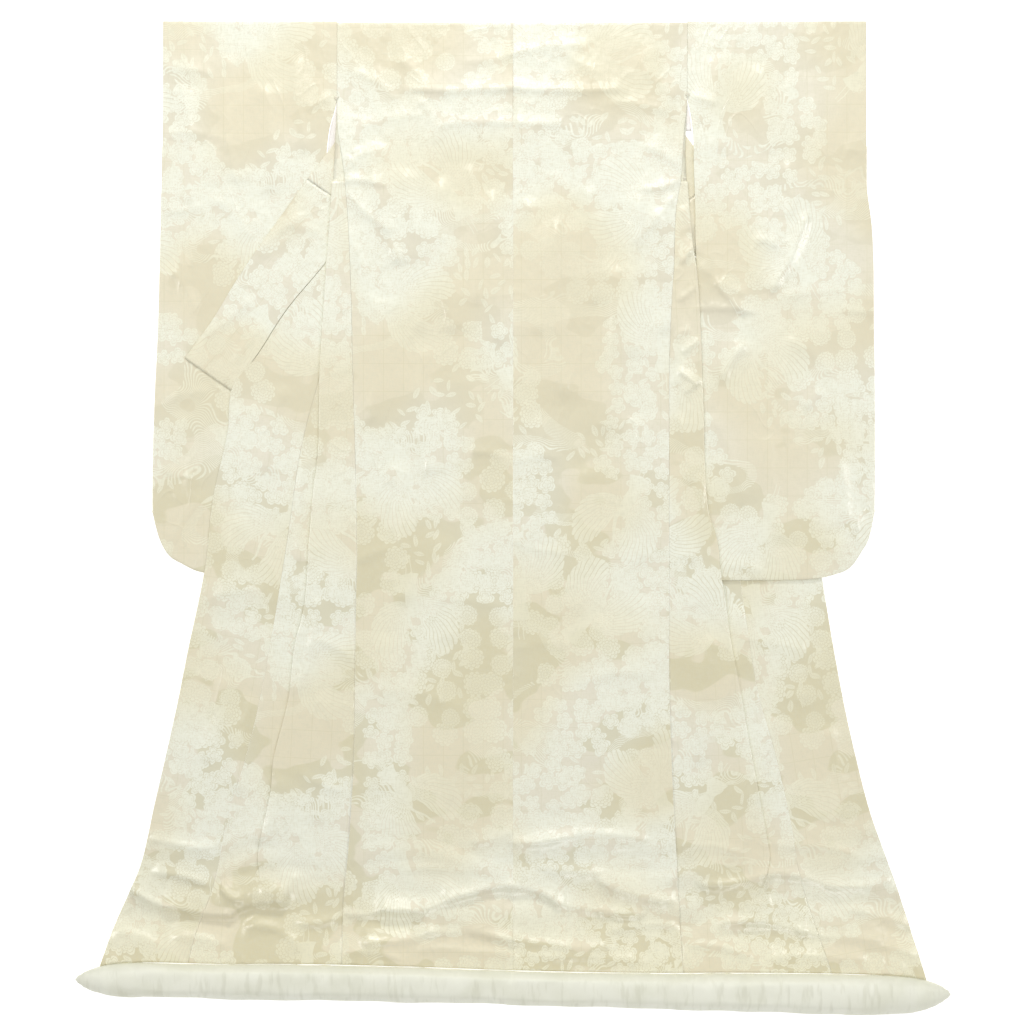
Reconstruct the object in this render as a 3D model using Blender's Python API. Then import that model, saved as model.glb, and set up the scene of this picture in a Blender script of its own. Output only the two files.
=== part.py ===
"""A silk uchikake, the padded-hem wedding kimono, laid flat with its back up.

Metres, +Z up, +X to the right and +Y to the neck as one looks down on it. The sizes below are
in millimetres. Each half is described outward from the centre back seam, so "across" is a
distance from that seam and "up" is a height on the picture, and a sign puts it left or right.

Both fronts are drawn out sideways from under the back. The left front and its collar lie on
the left sleeve. The right front lies under the right sleeve, and only its pleat lies on it.
"""

import math

import bmesh
import bpy
import numpy as np

MM = 0.001

CLOTH = 1.2
LAYER_GAP = 0.6
LAYER = CLOTH + LAYER_GAP
SEAM_GAP = 0.4
FLOOR_CLOTH = CLOTH / 2
LINING_EASE = 2.0

SHOULDER = 921.6
SHOULDER_TURN = 14.0
SLIT_END = 628.0
SLEEVE_END = -116.0
HEM = -830.0
HEM_TILT_FROM = -600.0
KENSAKI = 535.0
COLLAR_END = 236.0
CUFF_END = 690.0
RUN_OUT_TOP = 600.0

# Columns of the front's section that the pleat and the hidden return take.
PLEAT_COLUMNS = 9
RETURN_COLUMNS = 6

# The roll's height over its width, and how high on it the cloth is sewn.
ROLL_HEIGHT_SHARE = 0.58
ROLL_SEAM_SHARE = 0.45
ROLL_SIDES = 14
ROLL_END = 815.0
ROLL_TAPER = 65.0

# Each outline is a list of (up, across): where that line of the garment runs on that half.
LEFT = {
    "sign": -1,
    "lining": (777, 652),
    "side_seam": [(922, 327), (785, 327), (718, 325), (684, 320), (626, 312), (219, 296),
                  (-79, 290), (-153, 292), (-446, 296), (-600, 305), (-736, 316), (-840, 317)],
    "pleat_fold": [(922, 328.8), (780, 328.8), (684, 333), (591, 338), (475, 346), (271, 359),
                   (109, 363), (57, 370), (-33, 378), (-172, 389), (-233, 405), (-336, 417),
                   (-457, 446), (-507, 450), (-596, 469), (-840, 500)],
    "pleat_turn": [(922, 90), (776, 118), (657, 171), (475, 226), (271, 257), (109, 287),
                   (-40, 311), (-166, 340), (-354, 378), (-451, 411), (-553, 439),
                   (-657, 470), (-840, 500)],
    "okumi_seam": [(922, 96), (776, 123), (657, 210), (535, 300), (475, 322), (271, 357),
                   (176, 383), (105, 398), (-40, 419), (-354, 474), (-451, 498), (-553, 530),
                   (-682, 556), (-778, 590), (-840, 606)],
    "front_edge": [(535, 302), (475, 346), (386, 420), (303, 474), (236, 524), (163, 530),
                   (33, 558), (-98, 573), (-245, 604), (-341, 623), (-427, 642), (-531, 666),
                   (-652, 694), (-754, 738), (-840, 770)],
    "sleeve_inner": [(922, 327), (785, 327), (718, 342), (640, 348), (300, 345), (-116, 327)],
    "sleeve_outer": [(922, 651), (780, 651), (535, 655), (349, 660), (219, 666), (70, 670),
                     (-116, 669)],
    "sleeve_corner": [(0, -116), (0.74, -100), (0.84, -85), (0.93, -62), (0.975, -27), (1, 10)],
}

RIGHT = {
    "sign": 1,
    "lining": (770, 718),
    "side_seam": [(922, 324), (785, 324), (718, 318), (628, 312), (572, 303), (470, 299),
                  (386, 294), (245, 290), (-246, 290), (-475, 296), (-687, 307), (-840, 315)],
    "pleat_fold": [(922, 325.8), (780, 325.8), (684, 322), (628, 324), (516, 333), (451, 342),
                   (219, 353), (10, 363), (-38, 378), (-111, 387), (-166, 396), (-233, 405),
                   (-330, 424), (-384, 433), (-693, 487), (-840, 500)],
    "pleat_turn": [(922, 90), (776, 118), (657, 171), (475, 226), (219, 258), (10, 283),
                   (-111, 318), (-166, 333), (-341, 376), (-427, 400), (-553, 433),
                   (-657, 463), (-840, 500)],
    "okumi_seam": [(922, 96), (776, 123), (657, 210), (535, 300), (475, 322), (271, 357),
                   (105, 385), (-40, 410), (-129, 424), (-341, 459), (-427, 484),
                   (-561, 515), (-658, 532), (-823, 588), (-860, 600)],
    "front_edge": [(535, 302), (475, 346), (386, 420), (303, 474), (236, 524), (163, 530),
                   (33, 556), (-114, 575), (-330, 612), (-440, 636), (-555, 666),
                   (-682, 714), (-786, 751), (-860, 778)],
    "sleeve_inner": [(922, 324), (785, 324), (745, 331), (702, 335), (652, 336), (590, 338),
                     (516, 339), (404, 342), (219, 348), (-116, 351)],
    "sleeve_outer": [(922, 657), (628, 657), (535, 667), (349, 671), (126, 673), (-116, 670)],
    "sleeve_corner": [(0, -116), (0.6, -114), (0.77, -105), (0.87, -90), (0.93, -62),
                      (0.975, -33), (1, 10)],
}

# The collar: its seam edge, and its width square to that edge, from its end to the neck.
COLLAR_SEAM = [(236, 525), (303, 475), (386, 421), (475, 347), (535, 303), (657, 212),
               (760, 140)]
COLLAR_WIDTH = [(236, 104), (386, 108), (475, 118), (760, 120)]
# How the width runs, outward and towards the neck, for each part of it.
COLLAR_SLANT = (0.82, 0.57)
CROSS_SEAM = 560.0
NECK_SEAM = 720.0

# How far the neck's curve rises at the centre, at its seam and at its free edge.
NECK_RISE = (40.0, 22.0)

# How far out the right sleeve still lies over the front and collar under it.
RIGHT_SLEEVE_OVER = [(922, 150), (780, 235), (740, 290), (700, 338), (640, 388), (500, 492),
                     (380, 572), (295, 618), (236, 612), (100, 592), (-116, 584)]

SLEEVE_ROWS = (921, 870, 800, 740, 690, 640, 570, 500, 420, 340, 260, 180, 110, 50, -10, -60,
               -95, -116)

# The hem roll: how far right, the middle of the roll, and its width.
ROLL_AT = (-815, -795, -760, -700, -540, -400, -200, 0, 240, 410, 580, 700, 760, 795, 815)
ROLL_MIDDLE = (-858, -858, -857, -857, -861, -862, -866, -872, -878, -880, -883, -885, -885,
               -885, -885)
ROLL_WIDTH = (8, 30, 52, 64, 67, 69, 68, 66, 68, 73, 77, 72, 56, 32, 8)

# The largest soft folds that run across the skirt: the middle, the half length, the half
# width, the height, and how far the fold climbs over its length.
SKIRT_FOLDS = [
    {"across": 110, "up": -605, "length": 150, "width": 34, "height": 5.0, "climb": 10},
    {"across": -60, "up": -735, "length": 260, "width": 34, "height": 7.0, "climb": -14},
    {"across": 250, "up": -700, "length": 130, "width": 32, "height": 5.0, "climb": -40},
    {"across": -520, "up": -700, "length": 150, "width": 34, "height": 5.5, "climb": 26},
    {"across": 560, "up": -735, "length": 150, "width": 34, "height": 5.5, "climb": -20},
]

# One list of heights cuts every panel, so that layers that lie on each other bend together.
SHARED_ROWS = (895, 850, 795, 775, 755, 735, 715, 690, 660, 628, 600, 560, 515, 475, 425, 360,
               300, 236, 165, 95, 30, -40, -80, -118, -150, -190, -250, -340, -440, -530,
               -580, -605, -632, -670, -700, -722, -742, -765, -790, -812, -830)

SILK = (0.93, 0.91, 0.84)
SILK_EDGE = (0.91, 0.89, 0.81)
LINING = (0.96, 0.95, 0.94)


def eased(start, end, value):
    """0 before start and 1 after end, with a soft change between."""
    share = np.clip((np.asarray(value, float) - start) / (end - start), 0, 1)
    return share * share * (3 - 2 * share)


def curve(points, at):
    """A smooth line through (place, value) points, with no overshoot between them."""
    place, value = np.array(sorted(points), float).T
    step = np.diff(value) / np.diff(place)
    slope = np.concatenate([step[:1], (step[:-1] + step[1:]) / 2, step[-1:]])
    turning = step[:-1] * step[1:] <= 0
    slope[1:-1][turning] = 0
    limit = 3 * np.minimum(np.abs(np.append(step, step[-1])), np.abs(np.append(step[0], step)))
    slope = np.clip(slope, -limit, limit)
    at = np.clip(np.asarray(at, float), place[0], place[-1])
    index = np.clip(np.searchsorted(place, at) - 1, 0, len(place) - 2)
    width = place[index + 1] - place[index]
    share = (at - place[index]) / width
    start = value[index] + width * slope[index] * share * (1 - share) ** 2
    end = -width * slope[index + 1] * share * share * (1 - share)
    return start + end + (value[index + 1] - value[index]) * share * share * (3 - 2 * share)


def roll_middle(x):
    return curve(list(zip(ROLL_AT, ROLL_MIDDLE)), x)


def roll_width(x):
    return curve(list(zip(ROLL_AT, ROLL_WIDTH)), x)


def with_hem_tilt(x, up):
    """The last rows lean so that the cloth ends along the hem roll."""
    line = roll_middle(x) + roll_width(x) / 2 + SEAM_GAP
    return up + (line - HEM) * np.clip((HEM_TILT_FROM - up) / (HEM_TILT_FROM - HEM), 0, 1)


def skirt_relief(x, up):
    """Height of the large folds, and of the climb to the seam of the hem roll."""
    seam = ROLL_SEAM_SHARE * ROLL_HEIGHT_SHARE * roll_width(x) - FLOOR_CLOTH
    height = seam * eased(-735, HEM, up)
    for fold in SKIRT_FOLDS:
        along = (x - fold["across"]) / fold["length"]
        line = fold["up"] + fold["climb"] * along
        near = np.clip(1 - ((up - line) / fold["width"]) ** 2, 0, 1)
        height = height + fold["height"] * near ** 2 * np.clip(1 - along ** 2, 0, 1)
    return height


def sleeve_stack(half, across, up):
    """How high the sleeve's two layers lift what lies on them."""
    if half["sign"] < 0:
        sideways = eased(250, 330, across)
        top = eased(790, 700, up)
    else:
        edge = curve(half["sleeve_inner"], up)
        sideways = eased(edge - 48, edge - 3, across)
        top = eased(560, 480, up)
    bottom = eased(-200, -122, up)
    return 2 * LAYER * sideways * top * bottom


def front_height(half, across, up):
    """Middle of the cloth of the front, overlap and collar, under all its pleats."""
    lift = sleeve_stack(half, across, up) if half["sign"] < 0 else 0
    return FLOOR_CLOTH + lift + skirt_relief(half["sign"] * across, up)


def armhole_share(half, across, up):
    """1 where the front lies a layer up, 0 where it meets the sleeve's lower layer."""
    edge = curve(half["side_seam"], SHOULDER)
    return 1 - eased(730, 790, up) * eased(edge - 38, edge, across)


def return_height(half, across, up):
    """Middle of the cloth of the hidden run that comes back under the pleat."""
    layer = LAYER * armhole_share(half, across, up)
    if half["sign"] > 0:
        layer = layer + sleeve_stack(half, across, up)
    return front_height(half, across, up) + layer


def top_height(half, across, up):
    """Middle of the cloth of the back, and of the run of the front that the seam joins to it."""
    turn = curve(half["pleat_turn"], up)
    near = eased(turn - 82, turn - 2, across)
    neck = eased(640, 720, up)
    flat_end = 1 - eased(-680, -780, up)
    layers = neck + (1 + armhole_share(half, across, up) - neck) * near
    lift = sleeve_stack(half, across, up)
    relief = skirt_relief(half["sign"] * across, up)
    return FLOOR_CLOTH + LAYER * layers * flat_end + lift * flat_end + relief


def shares(count):
    return np.linspace(0, 1, count)


def half_turn(across, upper, lower, outward):
    """Three points round a fold, from the upper run to the lower one."""
    radius = (upper - lower) / 2
    angles = np.radians([45, 90, 135])
    reach = across - outward * radius
    return reach + outward * radius * np.sin(angles), lower + radius * (1 + np.cos(angles))


def front_section(half, up):
    """Across and height of the front at one row: seam, pleat out, return, and out again."""
    seam, fold, turn, end = (
        float(curve(half[name], up))
        for name in ("side_seam", "pleat_fold", "pleat_turn", "okumi_seam")
    )
    upper = seam + SEAM_GAP / 2 + (fold - seam - 2) * shares(6)
    middle = fold - 2 - (fold - turn - 4) * shares(7)
    lower = turn + 2 + (end - SEAM_GAP / 2 - turn - 2) * shares(6)
    high, between, low = (
        top_height(half, upper, up), return_height(half, middle, up),
        front_height(half, lower, up))
    first, first_height = half_turn(fold, high[-1], between[0], 1)
    second, second_height = half_turn(turn, between[-1], low[0], -1)
    across = np.concatenate([upper, first, middle, second, lower])
    height = np.concatenate([high, first_height, between, second_height, low])

    laid = np.interp(np.arange(25), [0, 5, 9, 15, 19, 24], [0, 0.6, 0.64, 0.7, 0.74, 1])
    laid = seam + SEAM_GAP / 2 + (end - seam - SEAM_GAP) * laid
    opened, level = eased(-620, -720, up), eased(-680, -780, up)
    laid_height = front_height(half, laid, up)
    return across + (laid - across) * opened, height + (laid_height - height) * level


def add_material(obj, name, colour, roughness):
    """Plain satin silk or its lining."""
    material = bpy.data.materials.get(name) or bpy.data.materials.new(name)
    material.use_nodes = True
    shader = material.node_tree.nodes["Principled BSDF"]
    shader.inputs["Base Color"].default_value = (*colour, 1)
    shader.inputs["Roughness"].default_value = roughness
    shader.inputs["Metallic"].default_value = 0
    obj.data.materials.append(material)


def add_object(name, mesh, colour, roughness=0.5):
    mesh.update()
    obj = bpy.data.objects.new(name, mesh)
    bpy.context.scene.collection.objects.link(obj)
    add_material(obj, name + "_cloth", colour, roughness)
    mesh.shade_smooth()
    mesh.set_sharp_from_angle(angle=math.radians(40))
    return obj


def give_thickness(obj):
    """The mesh is the middle of the cloth, and this gives it both faces and its edges."""
    wall = obj.modifiers.new("Wall", "SOLIDIFY")
    wall.thickness = CLOTH * MM
    wall.offset = 0
    wall.use_even_offset = True


def grid_faces(rows, columns, start=0, turned=False):
    faces = []
    for row in range(rows - 1):
        for column in range(columns - 1):
            corner = start + row * columns + column
            face = [corner, corner + columns, corner + columns + 1, corner + 1]
            faces.append(face[::-1] if turned else face)
    return faces


def add_sheet(name, half, rows, colour, present=None):
    """A cloth panel from rows of (across, up, height) arrays, less the cells that are absent."""
    points = []
    for across, up, height in rows:
        x = half["sign"] * across
        y = np.broadcast_to(up, x.shape)
        points += [(a * MM, b * MM, c * MM) for a, b, c in zip(x, y, height)]
    columns = len(rows[0][0])
    faces = grid_faces(len(rows), columns, turned=half["sign"] < 0)
    if present:
        faces = [face for face in faces if present(*divmod(min(face), columns))]
    mesh = bpy.data.meshes.new(name)
    mesh.from_pydata(points, [], faces)
    drop_loose_points(mesh)
    obj = add_object(name, mesh, colour)
    give_thickness(obj)
    return obj


def drop_loose_points(mesh):
    work = bmesh.new()
    work.from_mesh(mesh)
    loose = [point for point in work.verts if not point.link_faces]
    bmesh.ops.delete(work, geom=loose, context="VERTS")
    work.to_mesh(mesh)
    work.free()


def back_panel(half, side):
    """Half of the back, turned under at the shoulder, from the centre seam to the side seam."""
    width_shares = np.array([0, 0.12, 0.26, 0.4, 0.52, 0.63, 0.73, 0.82, 0.91, 1])
    rows = []

    def across_at(up):
        seam = curve(half["side_seam"], up) - SEAM_GAP / 2
        return SEAM_GAP / 2 + (seam - SEAM_GAP / 2) * width_shares

    across = across_at(SHOULDER)
    upper = top_height(half, across, SHOULDER)
    lower = np.minimum(return_height(half, across, SHOULDER), upper - LAYER)
    radius = (upper - lower) / 2
    tip = SHOULDER - 2 * CLOTH
    for up in (SHOULDER - SHOULDER_TURN, tip - LAYER / 2):
        rows.append((across, up, lower))
    rows.append((across, tip, lower + radius))
    rows.append((across, tip - LAYER / 2, upper))
    for up in SHARED_ROWS:
        across = across_at(up)
        height = top_height(half, across, up)
        rows.append((across, with_hem_tilt(half["sign"] * across, up), height))
    return add_sheet(f"back_{side}", half, rows, SILK)


def front_panel(half, side):
    """The pleat starts where the slit ends, and the run to the overlap below the neck."""
    heights = (SHOULDER - SHOULDER_TURN - SEAM_GAP, *SHARED_ROWS)
    rows = []
    for up in heights:
        across, height = front_section(half, up)
        rows.append((across, with_hem_tilt(half["sign"] * across, up), height))

    def present(row, column):
        if column < PLEAT_COLUMNS:
            return heights[row] <= SLIT_END
        return column < PLEAT_COLUMNS + RETURN_COLUMNS or heights[row] <= RUN_OUT_TOP

    return add_sheet(f"front_{side}", half, rows, SILK, present)


def overlap_panel(half, side):
    """The okumi, sewn to the front, from its point at the collar to the hem."""
    rows = []
    for up in (KENSAKI - 8, *[row for row in SHARED_ROWS if row < KENSAKI - 10]):
        seam = curve(half["okumi_seam"], up) + SEAM_GAP / 2
        edge = curve(half["front_edge"], up) - SEAM_GAP / 2
        across = seam + (edge - seam) * np.array([0, 0.3, 0.6, 0.85, 1])
        height = front_height(half, across, up)
        rows.append((across, with_hem_tilt(half["sign"] * across, up), height))
    return add_sheet(f"okumi_{side}", half, rows, SILK_EDGE)


def sleeve_lift(half, across, up):
    """How high the lower sleeve layer lies: the right one lies over its front and collar."""
    if half["sign"] < 0:
        return np.zeros_like(across)
    edge = curve(RIGHT_SLEEVE_OVER, up)
    return LAYER * (1 - eased(edge, edge + 70, across))


def rim_point(points, columns, place, inside):
    """The point of a sleeve's fold or seam, half a layer out from its edge and up."""
    here = np.array(points[place[0] * columns + place[1]])
    away = here - np.array(points[inside[0] * columns + inside[1]])
    away[2] = 0
    away = away / max(np.hypot(*away[:2]), 1e-9)
    return tuple(here + (away + (0, 0, 1)) * LAYER / 2 * MM)


def sleeve(half, side):
    """A flat bag: folded at the shoulder, sewn below the cuff and along the rounded bottom."""
    width_shares = np.array([0, 0.14, 0.3, 0.45, 0.6, 0.74, 0.84, 0.93, 0.975, 1])
    length_shares = np.interp(
        SLEEVE_ROWS, [SLEEVE_END, SHOULDER - FLOOR_CLOTH], [1, 0])
    bottom = curve(half["sleeve_corner"], width_shares)
    columns = len(width_shares)
    points = []
    across_all, up_all = [], []
    for share in length_shares:
        up = SHOULDER - FLOOR_CLOTH - share * (SHOULDER - FLOOR_CLOTH - bottom)
        inner = curve(half["sleeve_inner"], up) + SEAM_GAP / 2
        outer = curve(half["sleeve_outer"], up) - FLOOR_CLOTH
        across_all.append(inner + (outer - inner) * width_shares)
        up_all.append(up)
    across, up = np.array(across_all), np.array(up_all)
    lower = FLOOR_CLOTH + sleeve_lift(half, across, up)
    for height in (lower, lower + LAYER):
        for a, b, c in zip(across.ravel(), up.ravel(), height.ravel()):
            points.append((half["sign"] * a * MM, b * MM, c * MM))
    rows = len(length_shares)
    layer = rows * columns
    turned = half["sign"] < 0
    faces = grid_faces(rows, columns, turned=not turned)
    faces += grid_faces(rows, columns, start=layer, turned=turned)

    closed_from = next(row for row in range(rows) if SLEEVE_ROWS[row] <= CUFF_END)
    along_top = [(0, column) for column in range(columns)]
    along_side = [(row, columns - 1) for row in range(closed_from, rows)]
    along_side += [(rows - 1, column) for column in range(columns - 2, -1, -1)]
    for line in (along_top, along_side):
        low = [row * columns + column for row, column in line]
        middle = range(len(points), len(points) + len(line))
        for row, column in line:
            inside = (1, column) if row == 0 else (min(row, rows - 2), min(column, columns - 2))
            points.append(rim_point(points, columns, (row, column), inside))
        for under, over in ((low, middle), (middle, [corner + layer for corner in low])):
            for index in range(len(line) - 1):
                faces.append([under[index], under[index + 1], over[index + 1], over[index]])
    mesh = bpy.data.meshes.new(f"sleeve_{side}")
    mesh.from_pydata(points, [], faces)
    face_outward(mesh)
    obj = add_object(f"sleeve_{side}", mesh, SILK)
    give_thickness(obj)
    return obj


def face_outward(mesh):
    work = bmesh.new()
    work.from_mesh(mesh)
    bmesh.ops.recalc_face_normals(work, faces=work.faces)
    work.to_mesh(mesh)
    work.free()


def collar_strip(name, half, stations, colour=SILK_EDGE):
    """A straight stretch of the collar between (seam across, seam up, free across, free up)."""
    rows = []
    for seam_across, seam_up, free_across, free_up in stations:
        share = shares(4)
        across = seam_across + (free_across - seam_across) * share
        up = seam_up + (free_up - seam_up) * share
        rows.append((across, up, front_height(half, across, up)))
    return add_sheet(name, half, rows[::-1], colour)


def collar_stations(start, end, count):
    """Lines across the collar from its seam edge to its free edge, between two heights."""
    stations = []
    for seam_up in np.linspace(start, end, count):
        width = curve(COLLAR_WIDTH, seam_up)
        seam_across = float(curve(COLLAR_SEAM, seam_up)) + SEAM_GAP
        stations.append((seam_across, seam_up + SEAM_GAP,
                         seam_across + COLLAR_SLANT[0] * width,
                         seam_up + SEAM_GAP + COLLAR_SLANT[1] * width))
    return stations


def collar(half, side):
    collar_strip(f"collar_{side}", half, collar_stations(COLLAR_END, CROSS_SEAM - 1, 9))
    collar_strip(f"over_collar_{side}", half, collar_stations(CROSS_SEAM, NECK_SEAM, 7))


def neck_collar():
    """The middle of the collar, flat under the back of the neck."""
    half = RIGHT
    last = collar_stations(NECK_SEAM, NECK_SEAM + 1, 2)[0]
    clear = 5 * SEAM_GAP
    rows = []
    for share in np.linspace(-1, 1, 15):
        size, sign = abs(share), math.copysign(1, share)
        bow = math.sqrt(1 - 0.98 * size ** 2)
        seam = (sign * (last[0] - clear) * size, last[1] + 1 + NECK_RISE[0] * bow)
        free = (sign * (last[2] - clear) * size ** 0.8, last[3] + 1 + NECK_RISE[1] * bow)
        across = np.array([seam[0] + (free[0] - seam[0]) * part for part in shares(4)])
        up = np.array([seam[1] + (free[1] - seam[1]) * part for part in shares(4)])
        rows.append((across, up, np.full(4, FLOOR_CLOTH)))
    return add_sheet("over_collar_neck", half, rows, SILK_EDGE)


def slit_lining(half, side):
    """The white lining that shows through the slit below the armhole."""
    rows = []
    for up in np.linspace(*half["lining"], 7):
        inner = curve(half["pleat_fold"], up) - 2 + 2 * SEAM_GAP
        outer = curve(half["sleeve_inner"], up) - LINING_EASE
        across = np.linspace(inner, max(outer, inner + 1), 3)
        rows.append((across, up, np.full(3, FLOOR_CLOTH)))
    return add_sheet(f"lining_{side}", half, rows, LINING)


def hem_roll():
    """The padded roll of lining along the hem, flat under and drawn to a point at each end."""
    sides = ROLL_SIDES
    points, faces = [], []
    tip = ROLL_END - ROLL_TAPER * np.array([0, 0.11, 0.31, 0.57])
    straight = np.linspace(ROLL_TAPER - ROLL_END, ROLL_END - ROLL_TAPER, 25)
    stations = np.concatenate([-tip, straight, tip[::-1]])
    for x in stations:
        width, middle = float(roll_width(x)), float(roll_middle(x))
        height = ROLL_HEIGHT_SHARE * width
        for side in range(sides):
            angle = math.tau * side / sides
            lift = height * (ROLL_SEAM_SHARE + (1 - ROLL_SEAM_SHARE) * math.sin(angle))
            if math.sin(angle) < 0:
                lift = height * ROLL_SEAM_SHARE * (1 - min(1, -1.5 * math.sin(angle)) ** 1.6)
            points.append((x * MM, (middle + width / 2 * math.cos(angle)) * MM, lift * MM))
    for ring in range(len(stations) - 1):
        for side in range(sides):
            a = ring * sides + side
            b = ring * sides + (side + 1) % sides
            faces.append([a, a + sides, b + sides, b][::-1])
    faces.append(list(range(sides))[::-1])
    faces.append([len(points) - sides + side for side in range(sides)])
    mesh = bpy.data.meshes.new("hem_roll")
    mesh.from_pydata(points, [], faces)
    face_outward(mesh)
    return add_object("hem_roll", mesh, LINING, 0.6)


def clear_objects():
    for obj in list(bpy.data.objects):
        bpy.data.objects.remove(obj, do_unlink=True)


def main():
    clear_objects()
    for half, side in ((LEFT, "left"), (RIGHT, "right")):
        back_panel(half, side)
        front_panel(half, side)
        overlap_panel(half, side)
        sleeve(half, side)
        collar(half, side)
        slit_lining(half, side)
    neck_collar()
    hem_roll()


main()
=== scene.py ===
"""The looks of a silk uchikake, laid flat with its back up.

Lengths in the tables are millimetres, measured on each half outward from the centre back seam
("across") and towards the neck ("up"). The frame is in metres. Places of creases are given on
the 1024 pixel picture, where a pixel is 1.86 mm of cloth.
"""

import math
from collections import namedtuple
from functools import partial

import bmesh
import bpy
import numpy as np
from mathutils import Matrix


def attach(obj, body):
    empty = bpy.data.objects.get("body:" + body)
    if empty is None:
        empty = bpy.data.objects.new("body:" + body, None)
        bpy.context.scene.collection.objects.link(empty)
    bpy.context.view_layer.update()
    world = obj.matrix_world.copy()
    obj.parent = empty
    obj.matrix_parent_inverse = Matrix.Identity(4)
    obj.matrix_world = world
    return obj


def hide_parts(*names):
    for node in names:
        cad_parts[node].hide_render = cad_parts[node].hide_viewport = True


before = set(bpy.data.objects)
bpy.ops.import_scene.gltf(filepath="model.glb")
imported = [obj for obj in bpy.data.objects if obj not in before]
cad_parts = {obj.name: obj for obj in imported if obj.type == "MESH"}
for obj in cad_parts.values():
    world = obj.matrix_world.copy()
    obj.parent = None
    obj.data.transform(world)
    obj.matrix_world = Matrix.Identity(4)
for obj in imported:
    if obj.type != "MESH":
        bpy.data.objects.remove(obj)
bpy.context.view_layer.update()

MM = 0.001

Crease = namedtuple("Crease", "start_x start_y end_x end_y bow height width lean")
Pucker = namedtuple("Pucker", "across half_width depth")
Piece = namedtuple("Piece", "shift turn cut")
Light = namedtuple("Light", "name place aim size watts")

# The picture's frame on the cloth: mm in a pixel, and the pixel of the middle.
PIXEL = 1.86
CENTRE_PX = 513.0
LEVEL_PX = 517.5

# Walls, and the middle of a cloth that lies on the floor. FINE is the step of the meshes.
CLOTH = 1.2
LAYER_GAP = 0.6
LAYER = CLOTH + LAYER_GAP
SEAM_GAP = 0.2
FLOOR_CLOTH = CLOTH / 2
FINE = 4.8

# Levels of the cut, from the neck to the hem.
SHOULDER = 921.6
SHOULDER_TURN = 14.0
SLIT_END = 628.0
SLEEVE_END = -116.0
HEM = -830.0
HEM_TILT_FROM = -600.0
KENSAKI = 535.0
COLLAR_END = 236.0
CUFF_END = 690.0
RUN_OUT_TOP = 600.0

# The hem roll's height as a share of its width, and its seam's height as a share of that.
# The roll starts slimmer, and its padding swells it by no more than MOST_SWELL.
ROLL_HEIGHT_SHARE = 0.58
ROLL_SEAM_SHARE = 0.45
ROLL_SIDES = 24
ROLL_START = 0.92
ROLL_REACH = 1.12
ROLL_VOXEL = 5.5
PADDING_STEPS = 20
MOST_SWELL = 4.0

# Points across the front: upper run, fold, return, fold, and lower run, as spread gives it.
PLEAT_PARTS = (30, 7, 16, 7, 29)

# Each outline is a list of (up, across): where that line of the garment runs on that half.
LEFT = {
    "sign": -1,
    "side_seam": [(922, 327), (785, 327), (718, 325), (684, 320), (626, 312), (219, 296),
                  (-79, 290), (-153, 292), (-446, 296), (-600, 305), (-736, 316), (-840, 317)],
    "pleat_fold": [(922, 328.8), (780, 328.8), (684, 333), (591, 338), (475, 346), (271, 359),
                   (109, 363), (57, 370), (-33, 378), (-172, 389), (-233, 405), (-336, 417),
                   (-457, 446), (-507, 450), (-596, 469), (-840, 500)],
    "pleat_turn": [(922, 90), (776, 118), (657, 171), (475, 226), (271, 257), (109, 287),
                   (-40, 311), (-166, 340), (-354, 378), (-451, 411), (-553, 439),
                   (-657, 470), (-840, 500)],
    "okumi_seam": [(922, 96), (776, 123), (657, 210), (535, 300), (475, 322), (271, 357),
                   (176, 383), (105, 398), (-40, 419), (-354, 474), (-451, 498), (-553, 530),
                   (-682, 556), (-778, 590), (-840, 606)],
    "front_edge": [(535, 302), (475, 346), (386, 420), (303, 474), (236, 524), (163, 530),
                   (33, 558), (-98, 573), (-245, 604), (-341, 623), (-427, 642), (-531, 666),
                   (-652, 694), (-754, 738), (-840, 770)],
    "sleeve_inner": [(922, 327), (785, 327), (718, 342), (640, 348), (300, 345), (-116, 327)],
    "sleeve_outer": [(922, 651), (780, 651), (535, 655), (349, 660), (219, 666), (70, 670),
                     (-116, 669)],
    "sleeve_corner": [(0, -116), (0.74, -100), (0.84, -85), (0.93, -62), (0.975, -27), (1, 10)],
    "lining": (777, 652),
}

RIGHT = {
    "sign": 1,
    "side_seam": [(922, 324), (785, 324), (718, 318), (628, 312), (572, 303), (470, 299),
                  (386, 294), (245, 290), (-246, 290), (-475, 296), (-687, 307), (-840, 315)],
    "pleat_fold": [(922, 325.8), (780, 325.8), (684, 322), (628, 324), (516, 333), (451, 342),
                   (219, 353), (10, 363), (-38, 378), (-111, 387), (-166, 396), (-233, 405),
                   (-330, 424), (-384, 433), (-693, 487), (-840, 500)],
    "pleat_turn": [(922, 90), (776, 118), (657, 171), (475, 226), (219, 258), (10, 283),
                   (-111, 318), (-166, 333), (-341, 376), (-427, 400), (-553, 433),
                   (-657, 463), (-840, 500)],
    "okumi_seam": [(922, 96), (776, 123), (657, 210), (535, 300), (475, 322), (271, 357),
                   (105, 385), (-40, 410), (-129, 424), (-341, 459), (-427, 484),
                   (-561, 515), (-658, 532), (-823, 588), (-860, 600)],
    "front_edge": [(535, 302), (475, 346), (386, 420), (303, 474), (236, 524), (163, 530),
                   (33, 556), (-114, 575), (-330, 612), (-440, 636), (-555, 666),
                   (-682, 714), (-786, 751), (-860, 778)],
    "sleeve_inner": [(922, 324), (785, 324), (745, 331), (702, 335), (652, 336), (590, 338),
                     (516, 339), (404, 342), (219, 348), (-116, 351)],
    "sleeve_outer": [(922, 657), (628, 657), (535, 667), (349, 671), (126, 673), (-116, 670)],
    "sleeve_corner": [(0, -116), (0.6, -114), (0.77, -105), (0.87, -90), (0.93, -62),
                      (0.975, -33), (1, 10)],
    "lining": (770, 718),
}

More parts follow.
